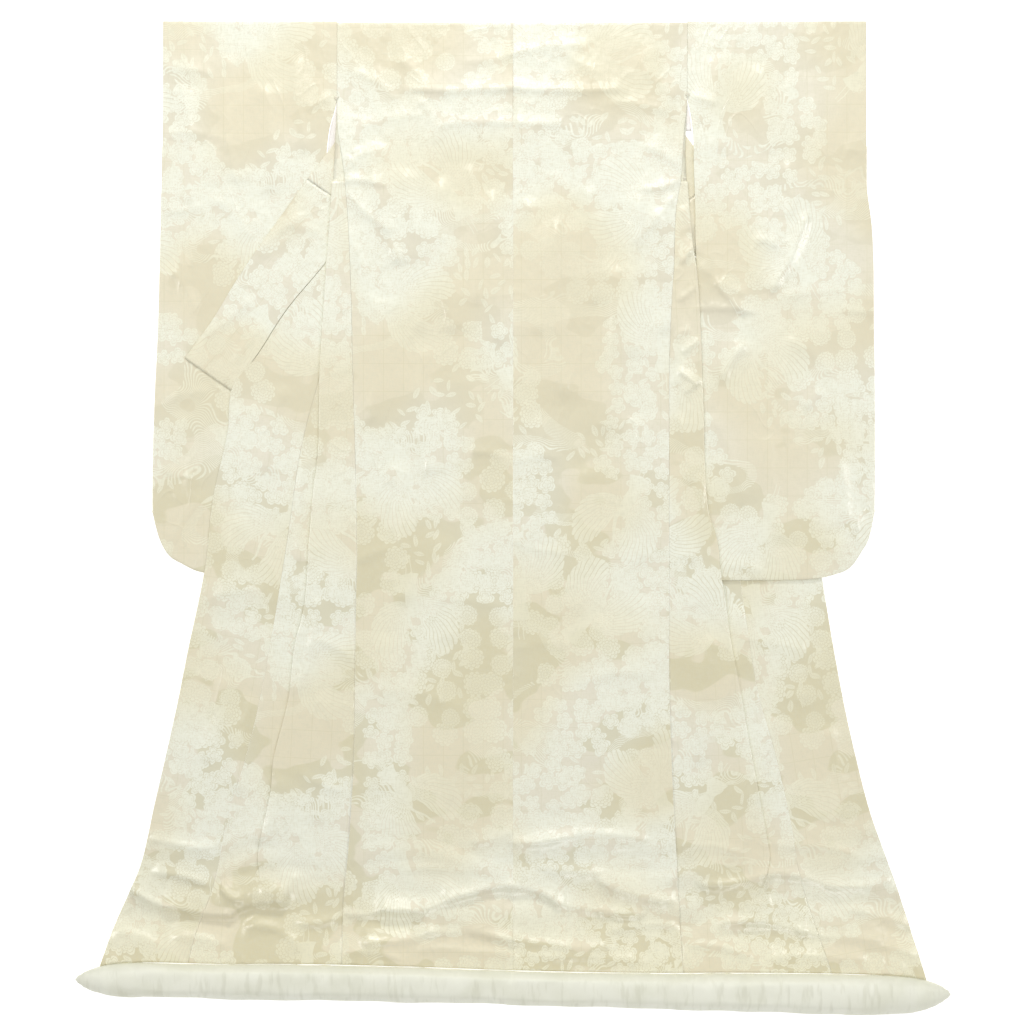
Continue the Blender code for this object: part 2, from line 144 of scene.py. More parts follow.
# The collar: its seam edge, and its width square to that edge, from its end to the neck.
COLLAR_SEAM = [(236, 525), (303, 475), (386, 421), (475, 347), (535, 303), (657, 212),
               (760, 140)]
COLLAR_WIDTH = [(236, 104), (386, 108), (475, 118), (760, 120)]
CROSS_SEAM = 560.0
NECK_SEAM = 720.0

# How far out the right sleeve still lies over the front and collar under it.
RIGHT_SLEEVE_OVER = [(922, 150), (780, 235), (740, 290), (700, 338), (640, 388), (500, 492),
                     (380, 572), (295, 618), (236, 612), (100, 592), (-116, 584)]

# The hem roll: how far right, the middle of the roll, and its width.
ROLL_AT = (-815, -795, -760, -700, -540, -400, -200, 0, 240, 410, 580, 700, 760, 795, 815)
ROLL_MIDDLE = (-858, -858, -857, -857, -861, -862, -866, -872, -878, -880, -883, -885, -885,
               -885, -885)
ROLL_WIDTH = (8, 30, 52, 64, 67, 69, 68, 66, 68, 73, 77, 72, 56, 32, 8)

# The largest soft folds that run across the skirt, as the solids have them.
SKIRT_FOLDS = [
    {"across": 110, "up": -605, "length": 150, "width": 34, "height": 5.0, "climb": 10},
    {"across": -60, "up": -735, "length": 260, "width": 34, "height": 7.0, "climb": -14},
    {"across": 250, "up": -700, "length": 130, "width": 32, "height": 5.0, "climb": -40},
    {"across": -520, "up": -700, "length": 150, "width": 34, "height": 5.5, "climb": 26},
    {"across": 560, "up": -735, "length": 150, "width": 34, "height": 5.5, "climb": -20},
]

# Creases by picture place, with the columns of Crease: start, end and bow in pixels, height and
# width in mm. A lean above 0 makes the side below the line steep, as where the cloth has rolled
# over it.
CREASES = [
    # Wrinkles under the neck.
    (408, 90, 512, 88, -2, 2.6, 6, 0.6), (512, 88, 622, 90, -2, 2.4, 6, 0.6),
    (440, 126, 508, 123, 2, 1.6, 7, 0.4), (512, 124, 566, 126, 1, 1.4, 7, 0.4),
    (466, 62, 512, 54, -2, 1.4, 6, 0.3), (512, 54, 584, 46, 3, 1.4, 6, 0.3),
    (556, 42, 600, 74, -4, 1.2, 7, 0.2), (398, 60, 430, 96, 6, 1.6, 8, 0.3),
    (350, 70, 396, 100, 4, 1.4, 8, 0.2), (640, 60, 676, 96, -5, 1.4, 8, 0.2),
    (610, 104, 668, 112, 3, 1.3, 7, 0.3), (360, 128, 420, 116, 3, 1.3, 8, 0.3),
    # Long soft folds down the back.
    (372, 150, 398, 262, -5, 2.6, 11, 0.3), (404, 176, 420, 330, 6, 2.2, 12, 0.2),
    (440, 186, 452, 330, -5, 2.8, 10, 0.4), (470, 170, 476, 300, 4, 2.4, 10, 0.3),
    (494, 196, 498, 340, -3, 2.2, 9, 0.2), (528, 204, 536, 330, 4, 2.2, 10, 0.3),
    (556, 226, 564, 396, -5, 2.8, 12, 0.4), (586, 190, 594, 300, 5, 1.8, 10, 0.2),
    (612, 270, 604, 430, 5, 2.8, 12, 0.3), (640, 196, 632, 352, -4, 2.4, 12, 0.3),
    (658, 214, 664, 330, 4, 2.4, 9, 0.5), (376, 300, 370, 420, 4, 2.0, 11, 0.2),
    (422, 352, 430, 470, -4, 1.8, 12, 0.2), (470, 380, 474, 500, 3, 1.6, 13, 0.1),
    (540, 420, 534, 540, 4, 1.6, 13, 0.1), (586, 470, 578, 610, -5, 2.0, 14, 0.2),
    (636, 420, 640, 560, 4, 2.0, 12, 0.2), (392, 470, 404, 600, 5, 2.2, 12, 0.3),
    (440, 540, 450, 640, -3, 1.6, 13, 0.1), (602, 620, 590, 760, 5, 2.0, 14, 0.2),
    (648, 600, 656, 740, -4, 2.0, 12, 0.2), (384, 640, 372, 790, 5, 2.2, 13, 0.2),
    (456, 700, 448, 800, 4, 1.4, 13, 0.1), (552, 700, 560, 810, -3, 1.4, 13, 0.1),
    # Drag lines from the slits.
    (344, 182, 384, 186, 2, 2.4, 5, 0.7), (346, 192, 392, 232, -3, 2.0, 7, 0.4),
    (346, 168, 380, 148, 3, 1.6, 7, 0.3), (348, 230, 366, 300, 4, 1.8, 8, 0.3),
    (678, 182, 640, 190, 2, 2.2, 5, 0.6), (674, 196, 636, 240, 3, 1.8, 7, 0.4),
    (676, 166, 646, 146, -2, 1.6, 7, 0.3), (420, 100, 436, 140, 3, 1.6, 8, 0.3),
    # Short folds that cross the back.
    (470, 452, 508, 460, 3, 1.6, 7, 0.4), (516, 462, 556, 456, 3, 1.4, 7, 0.4),
    (514, 540, 566, 552, -4, 1.4, 8, 0.3), (440, 600, 500, 606, 3, 1.0, 8, 0.2),
    (515, 650, 570, 644, 3, 1.0, 8, 0.2), (360, 560, 392, 548, 2, 1.2, 7, 0.3),
    (380, 690, 440, 700, 4, 1.0, 9, 0.2), (590, 680, 650, 672, 3, 1.2, 9, 0.2),
    # The folds across the skirt.
    (512, 842, 578, 834, -3, 3.4, 8, 0.7), (578, 834, 644, 840, 3, 2.4, 8, 0.6),
    (474, 843, 512, 832, -2, 2.2, 7, 0.6), (384, 909, 448, 900, -5, 4.0, 9, 0.8),
    (448, 900, 512, 886, 3, 4.6, 9, 0.8), (512, 886, 556, 902, 4, 4.0, 9, 0.8),
    (556, 902, 642, 914, -3, 3.4, 9, 0.7), (346, 914, 384, 909, -3, 3.0, 7, 0.7),
    (364, 941, 430, 931, -4, 4.0, 9, 0.7), (430, 931, 512, 938, 3, 4.0, 10, 0.7),
    (512, 938, 610, 946, -3, 3.0, 9, 0.6), (420, 948, 512, 955, 2, 2.0, 7, 0.5),
    (530, 956, 640, 960, 2, 1.8, 7, 0.5), (600, 880, 668, 900, -4, 3.0, 9, 0.6),
    (612, 930, 674, 926, 3, 2.6, 8, 0.6), (350, 950, 400, 958, 2, 2.2, 6, 0.5),
    (400, 870, 470, 872, 3, 1.6, 9, 0.4), (540, 866, 600, 872, -3, 1.8, 9, 0.4),
    # Left front and overlap.
    (132, 889, 170, 906, -3, 4.0, 8, 0.7), (170, 906, 232, 914, -2, 4.0, 8, 0.7),
    (232, 912, 284, 902, 4, 3.4, 8, 0.7), (284, 902, 298, 876, 3, 2.2, 8, 0.5),
    (156, 872, 212, 885, 2, 2.6, 7, 0.6), (150, 838, 214, 848, -2, 2.2, 7, 0.6),
    (222, 888, 242, 900, -2, 2.4, 6, 0.6), (300, 922, 340, 917, -3, 2.6, 7, 0.6),
    (250, 924, 300, 944, 5, 2.8, 10, 0.4), (176, 936, 226, 944, 3, 2.2, 9, 0.4),
    (116, 930, 160, 944, 3, 2.2, 8, 0.4), (262, 840, 280, 780, -4, 2.2, 9, 0.3),
    (240, 790, 252, 700, 3, 1.8, 9, 0.2), (298, 690, 318, 600, -4, 2.0, 9, 0.2),
    (320, 820, 326, 700, 3, 1.8, 10, 0.2), (300, 560, 306, 460, 3, 1.6, 8, 0.2),
    (222, 640, 238, 520, 4, 1.6, 10, 0.2), (208, 760, 224, 680, -3, 1.6, 9, 0.2),
    (266, 470, 284, 390, 3, 1.6, 9, 0.2), (206, 600, 260, 590, 3, 1.2, 8, 0.3),
    (318, 640, 352, 660, 3, 1.6, 8, 0.3), (300, 770, 340, 790, -3, 1.6, 8, 0.3),
    # Collar end.
    (206, 336, 250, 300, -2, 1.4, 6, 0.3), (262, 250, 300, 218, 2, 1.4, 6, 0.3),
    (236, 360, 260, 330, 2, 1.2, 6, 0.3), (288, 226, 322, 236, 2, 1.2, 6, 0.3),
    # Left sleeve.
    (166, 68, 210, 74, 2, 1.4, 7, 0.4), (168, 134, 226, 140, 3, 1.6, 7, 0.5),
    (164, 212, 200, 206, -2, 1.4, 7, 0.3), (182, 90, 190, 200, 5, 1.6, 11, 0.2),
    (226, 60, 236, 180, -5, 1.8, 12, 0.2), (264, 90, 270, 190, 5, 1.8, 12, 0.2),
    (296, 60, 306, 150, -3, 2.0, 10, 0.3), (214, 200, 250, 236, 4, 1.6, 9, 0.3),
    (170, 270, 196, 310, 3, 1.6, 8, 0.3), (166, 400, 204, 392, 2, 1.6, 7, 0.4),
    (180, 420, 190, 500, 4, 1.6, 10, 0.2), (160, 470, 196, 480, 2, 1.2, 7, 0.3),
    (176, 540, 200, 500, 3, 1.4, 8, 0.3), (310, 110, 328, 98, 1, 1.6, 5, 0.5),
    # Right sleeve.
    (808, 217, 773, 290, 3, 3.6, 7, 0.7), (716, 284, 741, 311, -1, 3.4, 5, 0.9),
    (698, 309, 754, 312, 2, 2.2, 5, 0.6), (745, 346, 722, 378, -2, 3.0, 8, 0.5),
    (806, 408, 820, 392, 1, 2.0, 6, 0.5), (842, 312, 873, 313, 1, 1.6, 5, 0.5),
    (700, 266, 748, 298, -2, 1.8, 7, 0.4), (754, 240, 776, 246, 2, 2.0, 7, 0.4),
    (786, 166, 792, 212, 3, 2.2, 8, 0.4), (760, 70, 768, 150, 4, 1.6, 11, 0.2),
    (716, 60, 722, 150, -4, 1.8, 10, 0.3), (810, 80, 818, 180, 4, 1.6, 11, 0.2),
    (846, 150, 866, 154, 1, 1.4, 6, 0.4), (694, 98, 716, 104, 1, 1.8, 5, 0.5),
    (714, 420, 742, 500, 4, 1.8, 10, 0.2), (770, 440, 782, 540, -4, 1.8, 11, 0.2),
    (830, 430, 846, 520, 4, 1.8, 10, 0.2), (790, 340, 830, 372, 3, 1.6, 9, 0.2),
    (856, 236, 870, 280, 2, 1.4, 7, 0.3), (838, 560, 860, 520, 3, 1.4, 8, 0.3),
    (716, 566, 760, 570, 2, 1.2, 7, 0.3), (780, 300, 840, 290, 3, 1.2, 8, 0.2),
    # Crinkles of the right pleat.
    (682, 262, 696, 246, 1, 2.6, 4.5, 0.6), (680, 300, 696, 286, -1, 2.4, 4.5, 0.6),
    (684, 352, 700, 342, 1, 2.6, 4.5, 0.6), (678, 372, 694, 384, 1, 3.0, 4.5, 0.7),
    (686, 392, 701, 380, -1, 2.4, 4.5, 0.6), (682, 210, 690, 230, 1, 2.0, 4.5, 0.5),
    (676, 336, 690, 330, 1, 1.8, 4.5, 0.5), (680, 420, 690, 480, 2, 1.8, 7, 0.3),
    # Right front and overlap.
    (690, 560, 702, 480, -3, 1.8, 8, 0.2), (700, 760, 712, 640, 4, 2.4, 10, 0.2),
    (728, 700, 742, 610, -3, 2.0, 9, 0.2), (762, 800, 772, 720, 3, 2.0, 9, 0.2),
    (800, 700, 812, 600, 4, 1.8, 10, 0.2), (836, 820, 830, 730, -4, 2.0, 10, 0.2),
    (700, 884, 766, 874, -4, 3.4, 8, 0.6), (766, 874, 830, 886, 4, 3.0, 8, 0.6),
    (830, 886, 890, 880, -3, 2.6, 8, 0.6), (720, 922, 800, 930, 4, 3.4, 9, 0.6),
    (800, 930, 880, 938, -3, 3.2, 9, 0.6), (690, 944, 748, 954, 3, 2.6, 7, 0.5),
    (770, 956, 860, 958, 2, 2.2, 7, 0.5), (850, 910, 906, 926, 3, 2.6, 8, 0.5),
    (776, 846, 850, 852, 3, 2.0, 8, 0.4), (684, 846, 740, 852, 3, 2.0, 8, 0.4),
    (866, 944, 916, 954, 2, 2.0, 7, 0.4), (742, 640, 800, 650, 3, 1.4, 9, 0.2),
]

# Puckers of the hem roll where the skirt's folds reach it, with the columns of Pucker.
PUCKERS = [
    (-748, 9, 1.6), (-700, 12, 1.0), (-640, 8, 1.2), (-590, 14, 0.8), (-520, 9, 1.1),
    (-455, 13, 0.9), (-400, 8, 1.3), (-348, 9, 2.6), (-322, 6, 1.4), (-260, 12, 0.8),
    (-215, 8, 1.2), (-160, 14, 0.8), (-105, 8, 1.1), (-48, 9, 1.0), (-2, 8, 2.2),
    (44, 12, 0.9), (96, 8, 1.3), (150, 13, 0.9), (205, 8, 1.2), (262, 9, 1.2),
    (300, 8, 2.0), (330, 7, 1.6), (362, 9, 2.2), (398, 8, 1.8), (436, 12, 1.2),
    (492, 8, 1.3), (548, 12, 0.9), (604, 8, 1.2), (662, 12, 0.9), (706, 8, 1.3), (752, 9, 1.6),
]

# Stitches: how far right, how far up, and the height of the cloth they bind.
TACKS = {
    "tack_left": [(-328, 780, 5.4), (-328, 629, 5.4)],
    "tack_right": [(324, 786, 5.4), (318, 629, 4.2)],
}

# Each piece with the columns of Piece: the shift of its pattern in mm, how far that is
# turned, and its flat cut in metres, width by length.
PIECES = {
    "back_left": Piece((0, 0), 0.0, (0.36, 1.82)),
    "back_right": Piece((410, 260), 0.0, (0.36, 1.82)),
    "front_left": Piece((150, 700), 0.05, (0.3, 1.76)),
    "front_right": Piece((-230, 330), -0.05, (0.3, 1.76)),
    "okumi_left": Piece((520, -140), 0.16, (0.15, 1.4)),
    "okumi_right": Piece((-610, 90), -0.16, (0.15, 1.4)),
    "sleeve_left": Piece((260, -480), 0.0, (0.36, 2.1)),
    "sleeve_right": Piece((-380, 610), 0.0, (0.36, 2.1)),
    "collar_left": Piece((80, 300), 0.7, (0.12, 0.4)),
    "collar_right": Piece((-90, 120), -0.7, (0.12, 0.4)),
    "over_collar_left": Piece((330, 90), 0.7, (0.12, 0.2)),
    "over_collar_right": Piece((-140, 410), -0.7, (0.12, 0.2)),
    "over_collar_neck": Piece((30, -60), 0.0, (0.12, 0.26)),
}

# Ivory silk: satin ground, paler and plain woven mist, white figure, and the tint of age that
# they are multiplied by. A warm tint is also multiplied in towards the hem: painted shade where
# the light falls off.
GROUND = "#e6e1cc"
MIST = "#ebe6d2"
FIGURE = "#f5f6e5"
AGED = "#fdf9ee"
HEM_SHADE = "#fffaec"
# A darker ground, for the lattice and the weave, and painted shade on the ground lower down.
GROUND_LOW = "#e0dcc2"

# Typical values of silk, with a little sheen from its filaments.
SILK = {"Metallic": 0, "IOR": 1.46, "Specular IOR Level": 0.85, "Sheen Weight": 0.12,
        "Sheen Roughness": 0.4}

# Sizes of the woven motifs in mm. The threads are really about 0.1 mm apart, too fine to show,
# so their unevenness is drawn a few mm long.
BLOSSOM_CELL = 31
CHRYSANTHEMUM_CELL = 47
PETAL_RING = 5.4
LEAF_CELL = 24
LEAF_HALF_LENGTH = 12.5
CRANE_CELL = 265
STREAM_PITCH = 5.2
LATTICE_PITCH = (37.0, 52.0)
WARP_MM = 2.4
WEFT_MM = 2.2

# What the second part of a node's kind sets, as in Math.ADD or Mix.RGBA.
CHOICE_OF = {"Math": "operation", "VectorMath": "operation", "Mix": "data_type",
             "MapRange": "interpolation_type"}

# Long soft boxes round the board, with the columns of Light. Places in metres.
LIGHTS = [
    Light("key", (-0.3, 3.3, 1.5), (0, -0.4, 0), (1.2, 0.4), 54),
    Light("high", (0.1, 2.3, 3.3), (0, -0.4, 0), (0.9, 0.4), 15),
    Light("left", (-2.7, 0.2, 2.6), (0, -0.2, 0), (0.5, 1.6), 25),
    Light("right", (2.7, 0.2, 2.4), (0, -0.2, 0), (0.5, 1.6), 25),
    Light("front", (0.4, -3.0, 2.6), (0, -0.7, 0), (1.6, 0.5), 17),
]
SKY_STRENGTH = 0.43


def eased(start, end, value):
    """0 before start and 1 after end, with a soft change between."""
    share = np.clip((np.asarray(value, float) - start) / (end - start), 0, 1)
    return share * share * (3 - 2 * share)


def curve(points, at):
    """A smooth line through (place, value) points, with no overshoot between them."""
    place, value = np.array(sorted(points), float).T
    step = np.diff(value) / np.diff(place)
    slope = np.concatenate([step[:1], (step[:-1] + step[1:]) / 2, step[-1:]])
    turning = step[:-1] * step[1:] <= 0
    slope[1:-1][turning] = 0
    limit = 3 * np.minimum(np.abs(np.append(step, step[-1])), np.abs(np.append(step[0], step)))
    slope = np.clip(slope, -limit, limit)
    at = np.clip(np.asarray(at, float), place[0], place[-1])
    index = np.clip(np.searchsorted(place, at) - 1, 0, len(place) - 2)
    width = place[index + 1] - place[index]
    share = (at - place[index]) / width
    start = value[index] + width * slope[index] * share * (1 - share) ** 2
    end = -width * slope[index + 1] * share * share * (1 - share)
    return start + end + (value[index + 1] - value[index]) * share * share * (3 - 2 * share)


def roll_middle(x):
    return curve(list(zip(ROLL_AT, ROLL_MIDDLE)), x)


def roll_width(x):
    return curve(list(zip(ROLL_AT, ROLL_WIDTH)), x)


def with_hem_tilt(x, up):
    """The last rows lean so that the cloth ends along the hem roll."""
    line = roll_middle(x) + roll_width(x) / 2 + SEAM_GAP
    return up + (line - HEM) * np.clip((HEM_TILT_FROM - up) / (HEM_TILT_FROM - HEM), 0, 1)


def skirt_relief(x, up):
    """Height of the large folds, and of the climb to the seam of the hem roll."""
    seam = ROLL_SEAM_SHARE * ROLL_HEIGHT_SHARE * roll_width(x) - FLOOR_CLOTH
    height = seam * eased(-735, HEM, up)
    for fold in SKIRT_FOLDS:
        along = (x - fold["across"]) / fold["length"]
        line = fold["up"] + fold["climb"] * along
        near = np.clip(1 - ((up - line) / fold["width"]) ** 2, 0, 1)
        height = height + fold["height"] * near ** 2 * np.clip(1 - along ** 2, 0, 1)
    return height


def sleeve_stack(half, across, up):
    """How high the sleeve's two layers lift what lies on them."""
    if half["sign"] < 0:
        sideways = eased(250, 330, across)
        top = eased(790, 700, up)
    else:
        edge = curve(half["sleeve_inner"], up)
        sideways = eased(edge - 48, edge - 3, across)
        top = eased(560, 480, up)
    bottom = eased(-200, -122, up)
    return 2 * LAYER * sideways * top * bottom


def front_height(half, across, up):
    """Middle of the cloth of the front, overlap and collar, under all its pleats."""
    lift = sleeve_stack(half, across, up) if half["sign"] < 0 else 0
    return FLOOR_CLOTH + lift + skirt_relief(half["sign"] * across, up)


def armhole_share(half, across, up):
    """1 where the front lies a layer up, 0 where it meets the sleeve's lower layer."""
    edge = curve(half["side_seam"], SHOULDER)
    return 1 - eased(730, 790, up) * eased(edge - 38, edge, across)


def return_height(half, across, up):
    """Middle of the cloth of the hidden run that comes back under the pleat."""
    layer = LAYER * armhole_share(half, across, up)
    if half["sign"] > 0:
        layer = layer + sleeve_stack(half, across, up)
    return front_height(half, across, up) + layer


def top_height(half, across, up):
    """Middle of the cloth of the back, and of the run of the front that the seam joins to it."""
    turn = curve(half["pleat_turn"], up)
    near = eased(turn - 82, turn - 2, across)
    neck = eased(640, 720, up)
    flat_end = 1 - eased(-680, -780, up)
    layers = neck + (1 + armhole_share(half, across, up) - neck) * near
    lift = sleeve_stack(half, across, up)
    relief = skirt_relief(half["sign"] * across, up)
    return FLOOR_CLOTH + LAYER * layers * flat_end + lift * flat_end + relief


def sleeve_lift(half, across, up):
    """How high the lower sleeve layer lies: the right one lies over its front and collar."""
    if half["sign"] < 0:
        return np.zeros_like(across)
    edge = curve(RIGHT_SLEEVE_OVER, up)
    return LAYER * (1 - eased(edge, edge + 70, across))


def waves(x, up):
    """Slow unevenness of laid cloth, from a few long waves that don't line up."""
    total = np.zeros(np.broadcast(x, up).shape)
    for length, turn, start, size in ((310, 0.5, 0.3, 0.5), (190, 2.1, 1.9, 0.4),
                                      (127, 1.2, 4.0, 0.3), (83, 2.7, 2.2, 0.22),
                                      (57, 0.2, 5.1, 0.14), (41, 1.7, 0.8, 0.1)):
        along = x * math.cos(turn) + up * math.sin(turn)
        beside = up * math.cos(turn) - x * math.sin(turn)
        bend = 0.9 * np.sin(beside / (1.7 * length) + 2 * start)
        total += size * np.sin(along / length * math.tau / 2 + start + bend)
    return total


def on_cloth(x, y):
    """The place on the cloth in mm of a place in the picture."""
    return (x - CENTRE_PX) * PIXEL, (LEVEL_PX - y) * PIXEL


def creases(x, up):
    """Height that the listed creases add at a place on the cloth."""
    x, up = np.broadcast_arrays(np.asarray(x, float), np.asarray(up, float))
    height = np.zeros(x.shape)
    for crease in map(Crease._make, CREASES):
        ax, ay = on_cloth(crease.start_x, crease.start_y)
        bx, by = on_cloth(crease.end_x, crease.end_y)
        reach = math.hypot(bx - ax, by - ay)
        cx, cy = (bx - ax) / reach, (by - ay) / reach
        margin = 9 * crease.width + 20
        near = (np.abs(x - (ax + bx) / 2) < reach / 2 + margin) & (
            np.abs(up - (ay + by) / 2) < abs(by - ay) / 2 + margin + 20)
        if not near.any():
            continue
        px, py = x[near] - ax, up[near] - ay
        share = (px * cx + py * cy) / reach
        bow = crease.bow * PIXEL * 4 * share * (1 - share)
        wander = 0.12 * crease.width * np.sin(share * reach / 17 + crease.start_x)
        off = py * cx - px * cy - bow - wander
        below = off if cx >= 0 or abs(cx) < 0.3 else -off
        steep, slack = 1 - 0.55 * crease.lean, 1 + 0.5 * crease.lean
        side = crease.width * np.where(below < 0, steep, slack)
        crest = 1 / (1 + (off / side) ** 2) ** 2
        swell = 1 / (1 + (off / (3.4 * side)) ** 2) ** 2
        across = 0.42 * crest + 0.58 * swell
        taper = np.clip(26 / reach, 0.12, 0.4)
        along = np.clip(share / taper + 0.6, 0, 1) * np.clip((1 - share) / taper + 0.6, 0, 1)
        along = along * along * (3 - 2 * along)
        uneven = 1 + 0.18 * np.sin(share * reach / 23 + crease.end_y)
        height[near] += crease.height * across * along * uneven
    return height


def seam_puckers(x, up):
    """Short level wrinkles where the centre and side seams draw the cloth in."""
    total = np.zeros(np.broadcast(x, up).shape)
    for seam, reach, start in ((-305.0, 26, 1.3), (0.0, 24, 0.0), (303.0, 26, 2.6)):
        off = x - seam
        drift = up + 0.12 * np.abs(off) + 6 * np.sin(up / 71 + start) * np.sign(off)
        beat = np.sin(drift / 4.9 + 2.2 * np.sin(drift / 37 + start))
        patch_share = np.clip(np.sin(drift / 53 + start) + 0.4 * np.sin(drift / 19), 0, 1)
        total += 0.75 * np.clip(beat, 0, 1) ** 2 * patch_share * np.exp(-(off / reach) ** 2)
    return total * eased(880, 800, up) * eased(-780, -700, up)


def hem_gathers(x, up):
    """Short upright wrinkles where the skirt is sewn to the hem roll."""
    beat = np.sin(x / 5.3 + 2.0 * np.sin(x / 41)) + 0.5 * np.sin(x / 8.9 + 1.0)
    return 1.1 * np.clip(beat, 0, 1.5) * np.exp(-((up - HEM) / 20) ** 2)


def skirt_swells(x, up):
    """Broad soft swells that lie across the skirt above the hem."""
    line = up + 14 * np.sin(x / 118 + 0.6) + 9 * np.sin(x / 47 + 2.0)
    swell = np.sin(line / 9.6 + 1.4 * np.sin(x / 161)) + 0.6 * np.sin(line / 15.3 + x / 210)
    where = eased(-540, -640, up) * eased(-815, -770, up)
    strength = 0.6 + 0.4 * np.sin(x / 63 + line / 71)
    return 1.7 * np.clip(swell, -0.4, 2) * where * strength


def long_ripples(x, up):
    """Upright ripples that drift and fade, strongest down the upper back."""
    drift = x + 16 * np.sin(up / 170 + 0.4) + 7 * np.sin(up / 61 + x / 240)
    first = np.sin(drift / 11.5 + 1.1 * np.sin(x / 83))
    second = np.sin(drift / 17.9 + up / 260 + 2.0)
    strength = 0.55 + 0.45 * np.sin(up / 97 + x / 59) * np.sin(x / 71 + 1.2)
    where = 0.35 + 0.65 * eased(20, 160, up) * eased(690, 520, up)
    return np.clip(0.55 * first + 0.75 * second, 0, 2) * strength * where


def soft_relief(x, up):
    """Everything that lies on the smooth form. The creases are deepest in the skirt."""
    deeper = 1.7 + 0.9 * eased(-540, -640, up)
    total = 0.75 + 0.75 * waves(x, up) + deeper * creases(x, up)
    total = total + 1.1 * long_ripples(x, up) + skirt_swells(x, up)
    return total + seam_puckers(x, up) + hem_gathers(x, up)


def shares(count):
    return np.linspace(0, 1, count)


def half_turn(across, upper, lower, outward, count=7):
    """Points round a fold, from the upper run to the lower one."""
    radius = (upper - lower) / 2
    angles = np.radians(np.linspace(0, 180, count + 2)[1:-1])
    reach = across - outward * radius
    return reach + outward * radius * np.sin(angles), lower + radius * (1 + np.cos(angles))


def spread(width, step=FINE):
    """Shares of a panel's width, even within and close together beside its two seams."""
    inner = np.linspace(5, width - 5, max(2, int(round((width - 10) / step))))
    return np.concatenate([[0, 1, 2.6], inner, [width - 2.6, width - 1, width]]) / width


def fine_rows(high, low):
    return np.linspace(high, low, int(round((high - low) / FINE)) + 1)


def grid_faces(rows, columns, start=0, turned=False):
    row, column = np.meshgrid(np.arange(rows - 1), np.arange(columns - 1), indexing="ij")
    corner = (start + row * columns + column).ravel()
    faces = np.stack([corner, corner + columns, corner + columns + 1, corner + 1], axis=1)
    return faces[:, ::-1] if turned else faces


def new_object(name, points, faces, outward=False):
    """A smooth object from points in mm, without the points that no face uses."""
    mesh = bpy.data.meshes.new(name)
    mesh.from_pydata((np.asarray(points) * MM).tolist(), [], faces)
    work = bmesh.new()
    work.from_mesh(mesh)
    loose = [point for point in work.verts if not point.link_faces]
    bmesh.ops.delete(work, geom=loose, context="VERTS")
    if outward:
        bmesh.ops.recalc_face_normals(work, faces=work.faces)
    work.to_mesh(mesh)
    work.free()
    mesh.shade_smooth()
    obj = bpy.data.objects.new(name, mesh)
    bpy.context.scene.collection.objects.link(obj)
    return obj


def add_cloth(piece, points, faces, outward=False):
    """The cloth that stands for one solid. Its mesh is the middle of the wall."""
    obj = new_object(f"{piece}_silk", points, np.asarray(faces).tolist(), outward)
    wall = obj.modifiers.new("Wall", "SOLIDIFY")
    wall.thickness = CLOTH * MM
    wall.offset = 0
    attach(obj, "root")
    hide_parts(piece)
    return obj


def panel(piece, half, across, up, height, kept=None):
    """A cloth panel from grids of places and heights, with the soft relief added to it."""
    across, up, height = np.broadcast_arrays(across, up, height)
    x = half["sign"] * across
    y = with_hem_tilt(x, up)
    z = height + np.maximum(soft_relief(x, y), 0)
    rows, columns = x.shape
    faces = grid_faces(rows, columns, turned=half["sign"] < 0)
    if kept is not None:
        faces = faces[kept(*np.divmod(faces.min(axis=1), columns))]
    return add_cloth(piece, np.stack([x, y, z], axis=-1).reshape(-1, 3), faces)


def seam_dip(distance):
    """The edge of a panel sinks a little where it is sewn down."""
    return -0.2 * np.exp(-(distance / 2.4) ** 2)


def back_panel(half, side):
    """Half of the back, turned under at the shoulder, from the centre seam to the side seam."""
    rows = fine_rows(895, HEM)
    tip = SHOULDER - 2 * CLOTH
    turn = np.radians([30, 60, 90, 120, 150])
    part = spread(320)

    def across_at(up):
        seam = curve(half["side_seam"], up) - SEAM_GAP / 2
        return SEAM_GAP / 2 + (seam - SEAM_GAP / 2) * part

    edge = across_at(SHOULDER)
    upper = top_height(half, edge, SHOULDER)
    lower = np.minimum(return_height(half, edge, SHOULDER), upper - LAYER)
    radius = (upper - lower) / 2
    bend = tip - LAYER / 2
    sections = [(edge, place, lower) for place in (SHOULDER - SHOULDER_TURN, SHOULDER - 8, bend)]
    sections += [(edge, bend + LAYER / 2 * math.sin(angle), lower + radius * (1 - math.cos(angle)))
                 for angle in turn]
    for place in (bend, tip - 6, tip - 11, tip - 16, tip - 20, *rows):
        across = across_at(place)
        sections.append((across, place, top_height(half, across, place)))
    across, up, height = (np.array(part) for part in zip(*sections))
    up = up[:, None]
    width = across[:, -1:]
    height = height + seam_dip(across) + seam_dip(width - across)
    return panel(f"back_{side}", half, across, up, height)


